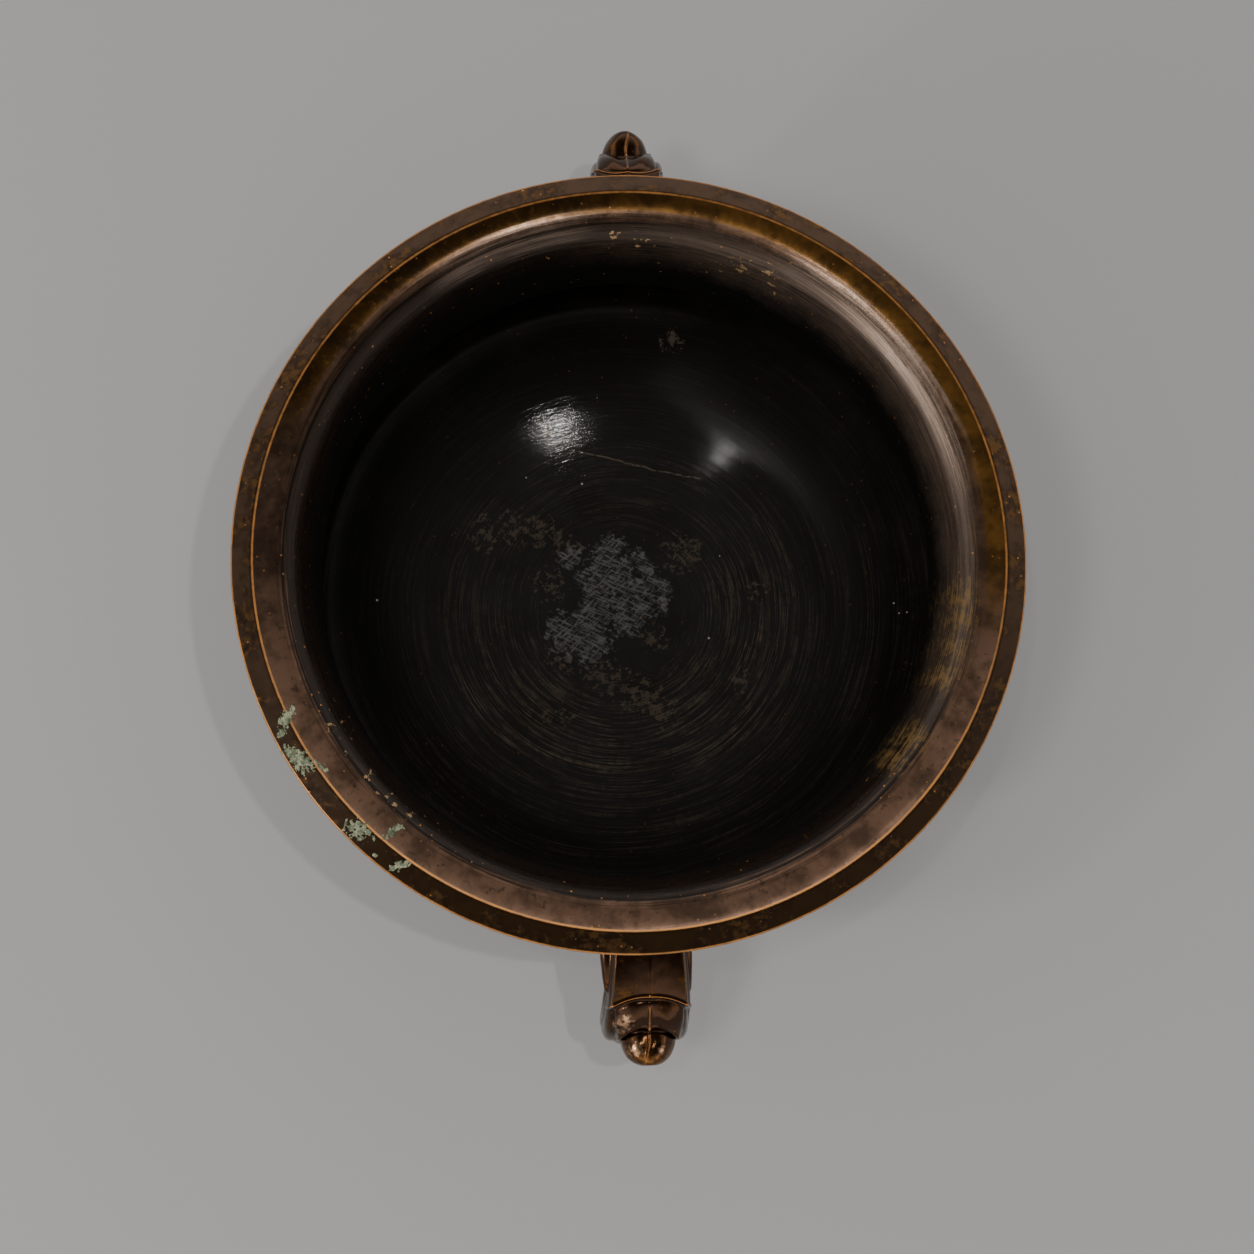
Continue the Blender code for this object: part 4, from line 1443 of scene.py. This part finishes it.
FLOOR_SIDE = 6.0  # metres
LIT_PLACE = Vector((0.0, 0.0, 0.03))  # the middle of the bowl, which the soft boxes face
HORIZON_END, ZENITH_START = 0.10, 0.72  # upward share of a direction: side light below, overhead light above

# Each soft box: its direction from the bowl, its side in metres, and its share of the power
SOFT_BOXES = (
    ("soft_box_right", (0.142, -0.112, 0.981), 0.018, 0.26),
    ("soft_box_left", (-0.138, -0.078, 0.987), 0.016, 0.075),
    ("soft_box_far_left", (-0.290, -0.200, 0.936), 0.12, 0.25),
    ("soft_box_side", (-0.930, -0.270, 0.260), 0.34, 0.24),
    ("soft_box_low", (-0.800, -0.450, 0.400), 0.08, 0.26),
)


def soft_box(name, studio, direction, side, share):
    """A square lamp that faces the middle of the bowl."""
    light = bpy.data.lights.new(name, "AREA")
    light.energy = studio.box_power * share
    light.size = side * studio.box_scale
    lamp = bpy.data.objects.new(name, light)
    lamp.location = LIT_PLACE + direction.normalized() * studio.box_distance
    lamp.rotation_mode = "QUATERNION"
    lamp.rotation_quaternion = direction.to_track_quat("Z", "Y")
    bpy.context.scene.collection.objects.link(lamp)


def surroundings(studio):
    """Even grey surroundings, dim overhead and lighter towards the horizon."""
    world = bpy.data.worlds.new("studio_surroundings")
    bpy.context.scene.world = world
    world.use_nodes = True
    tree = world.node_tree
    background = tree.nodes["Background"]
    background.inputs["Color"].default_value = (*studio.air_colour, 1.0)
    separate = tree.nodes.new("ShaderNodeSeparateXYZ")
    tree.links.new(tree.nodes.new("ShaderNodeTexCoord").outputs["Generated"], separate.inputs[0])
    strength = tree.nodes.new("ShaderNodeMapRange")
    strength.interpolation_type = "SMOOTHSTEP"
    ends = (HORIZON_END, ZENITH_START, studio.horizon_light, studio.zenith_light)
    for socket, value in zip(strength.inputs[1:5], ends):
        socket.default_value = value
    tree.links.new(separate.outputs["Z"], strength.inputs[0])
    tree.links.new(strength.outputs[0], background.inputs["Strength"])


def camera(studio):
    """The camera looks steeply down over the front handle, turned a little about its own view."""
    azimuth, elevation = studio.camera_azimuth, studio.camera_elevation
    forward = Vector(
        (math.sin(azimuth) * math.cos(elevation), math.cos(azimuth) * math.cos(elevation), -math.sin(elevation))
    )
    right = forward.cross(Vector((0, 0, 1))).normalized()
    up = right.cross(forward)
    cosine, sine = math.cos(studio.camera_roll), math.sin(studio.camera_roll)
    across, along_view = cosine * right + sine * up, cosine * up - sine * right
    data = bpy.data.cameras.new("studio_camera")
    data.lens = studio.lens
    data.sensor_width = 36.0
    data.clip_start = 0.01
    made = bpy.data.objects.new("studio_camera", data)
    made.matrix_world = Matrix.Translation(Vector(studio.aim) - forward * studio.camera_distance) @ Matrix(
        (across, along_view, -forward)
    ).transposed().to_4x4()
    bpy.context.scene.collection.objects.link(made)
    bpy.context.scene.camera = made


class BOWL_PT_panel(bpy.types.Panel):
    """Lists what the add-on makes and the sizes and colours it uses"""

    bl_idname = "BOWL_PT_panel"
    bl_label = "Ritual bowl"
    bl_space_type = "VIEW_3D"
    bl_region_type = "UI"
    bl_category = "Ritual bowl"

    def draw(self, context):
        layout = self.layout
        for operator in OPERATORS:
            layout.operator(operator.bl_idname)
        for name, (_, label) in GROUPS.items():
            box = layout.box()
            box.label(text=label)
            group = getattr(context.scene, name)
            for setting in group.bl_rna.properties:
                if setting.identifier not in ("rna_type", "name"):
                    box.prop(group, setting.identifier)


# Each group of settings, by its name in the scene, with its label in the panel
GROUPS = {
    "bowl_sizes": (BowlSizes, "Bowl"),
    "bowl_handles": (HandleSizes, "Handles"),
    "bowl_finish": (BowlFinish, "Finish"),
    "bowl_studio": (StudioSettings, "Studio"),
}
OPERATORS = (BOWL_OT_make_casting, BOWL_OT_make_verdigris, BOWL_OT_make_stage)
CLASSES = (*(group for group, _ in GROUPS.values()), *OPERATORS, BOWL_PT_panel)


def register():
    for made in CLASSES:
        bpy.utils.register_class(made)
    for name, (group, _) in GROUPS.items():
        setattr(bpy.types.Scene, name, bpy.props.PointerProperty(type=group))


def unregister():
    for name in GROUPS:
        delattr(bpy.types.Scene, name)
    for made in reversed(CLASSES):
        bpy.utils.unregister_class(made)


def main():
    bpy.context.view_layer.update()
    register()
    bpy.ops.bowl.make_casting()
    bpy.ops.bowl.make_verdigris()
    bpy.ops.bowl.make_stage()


if __name__ == "__main__":
    main()
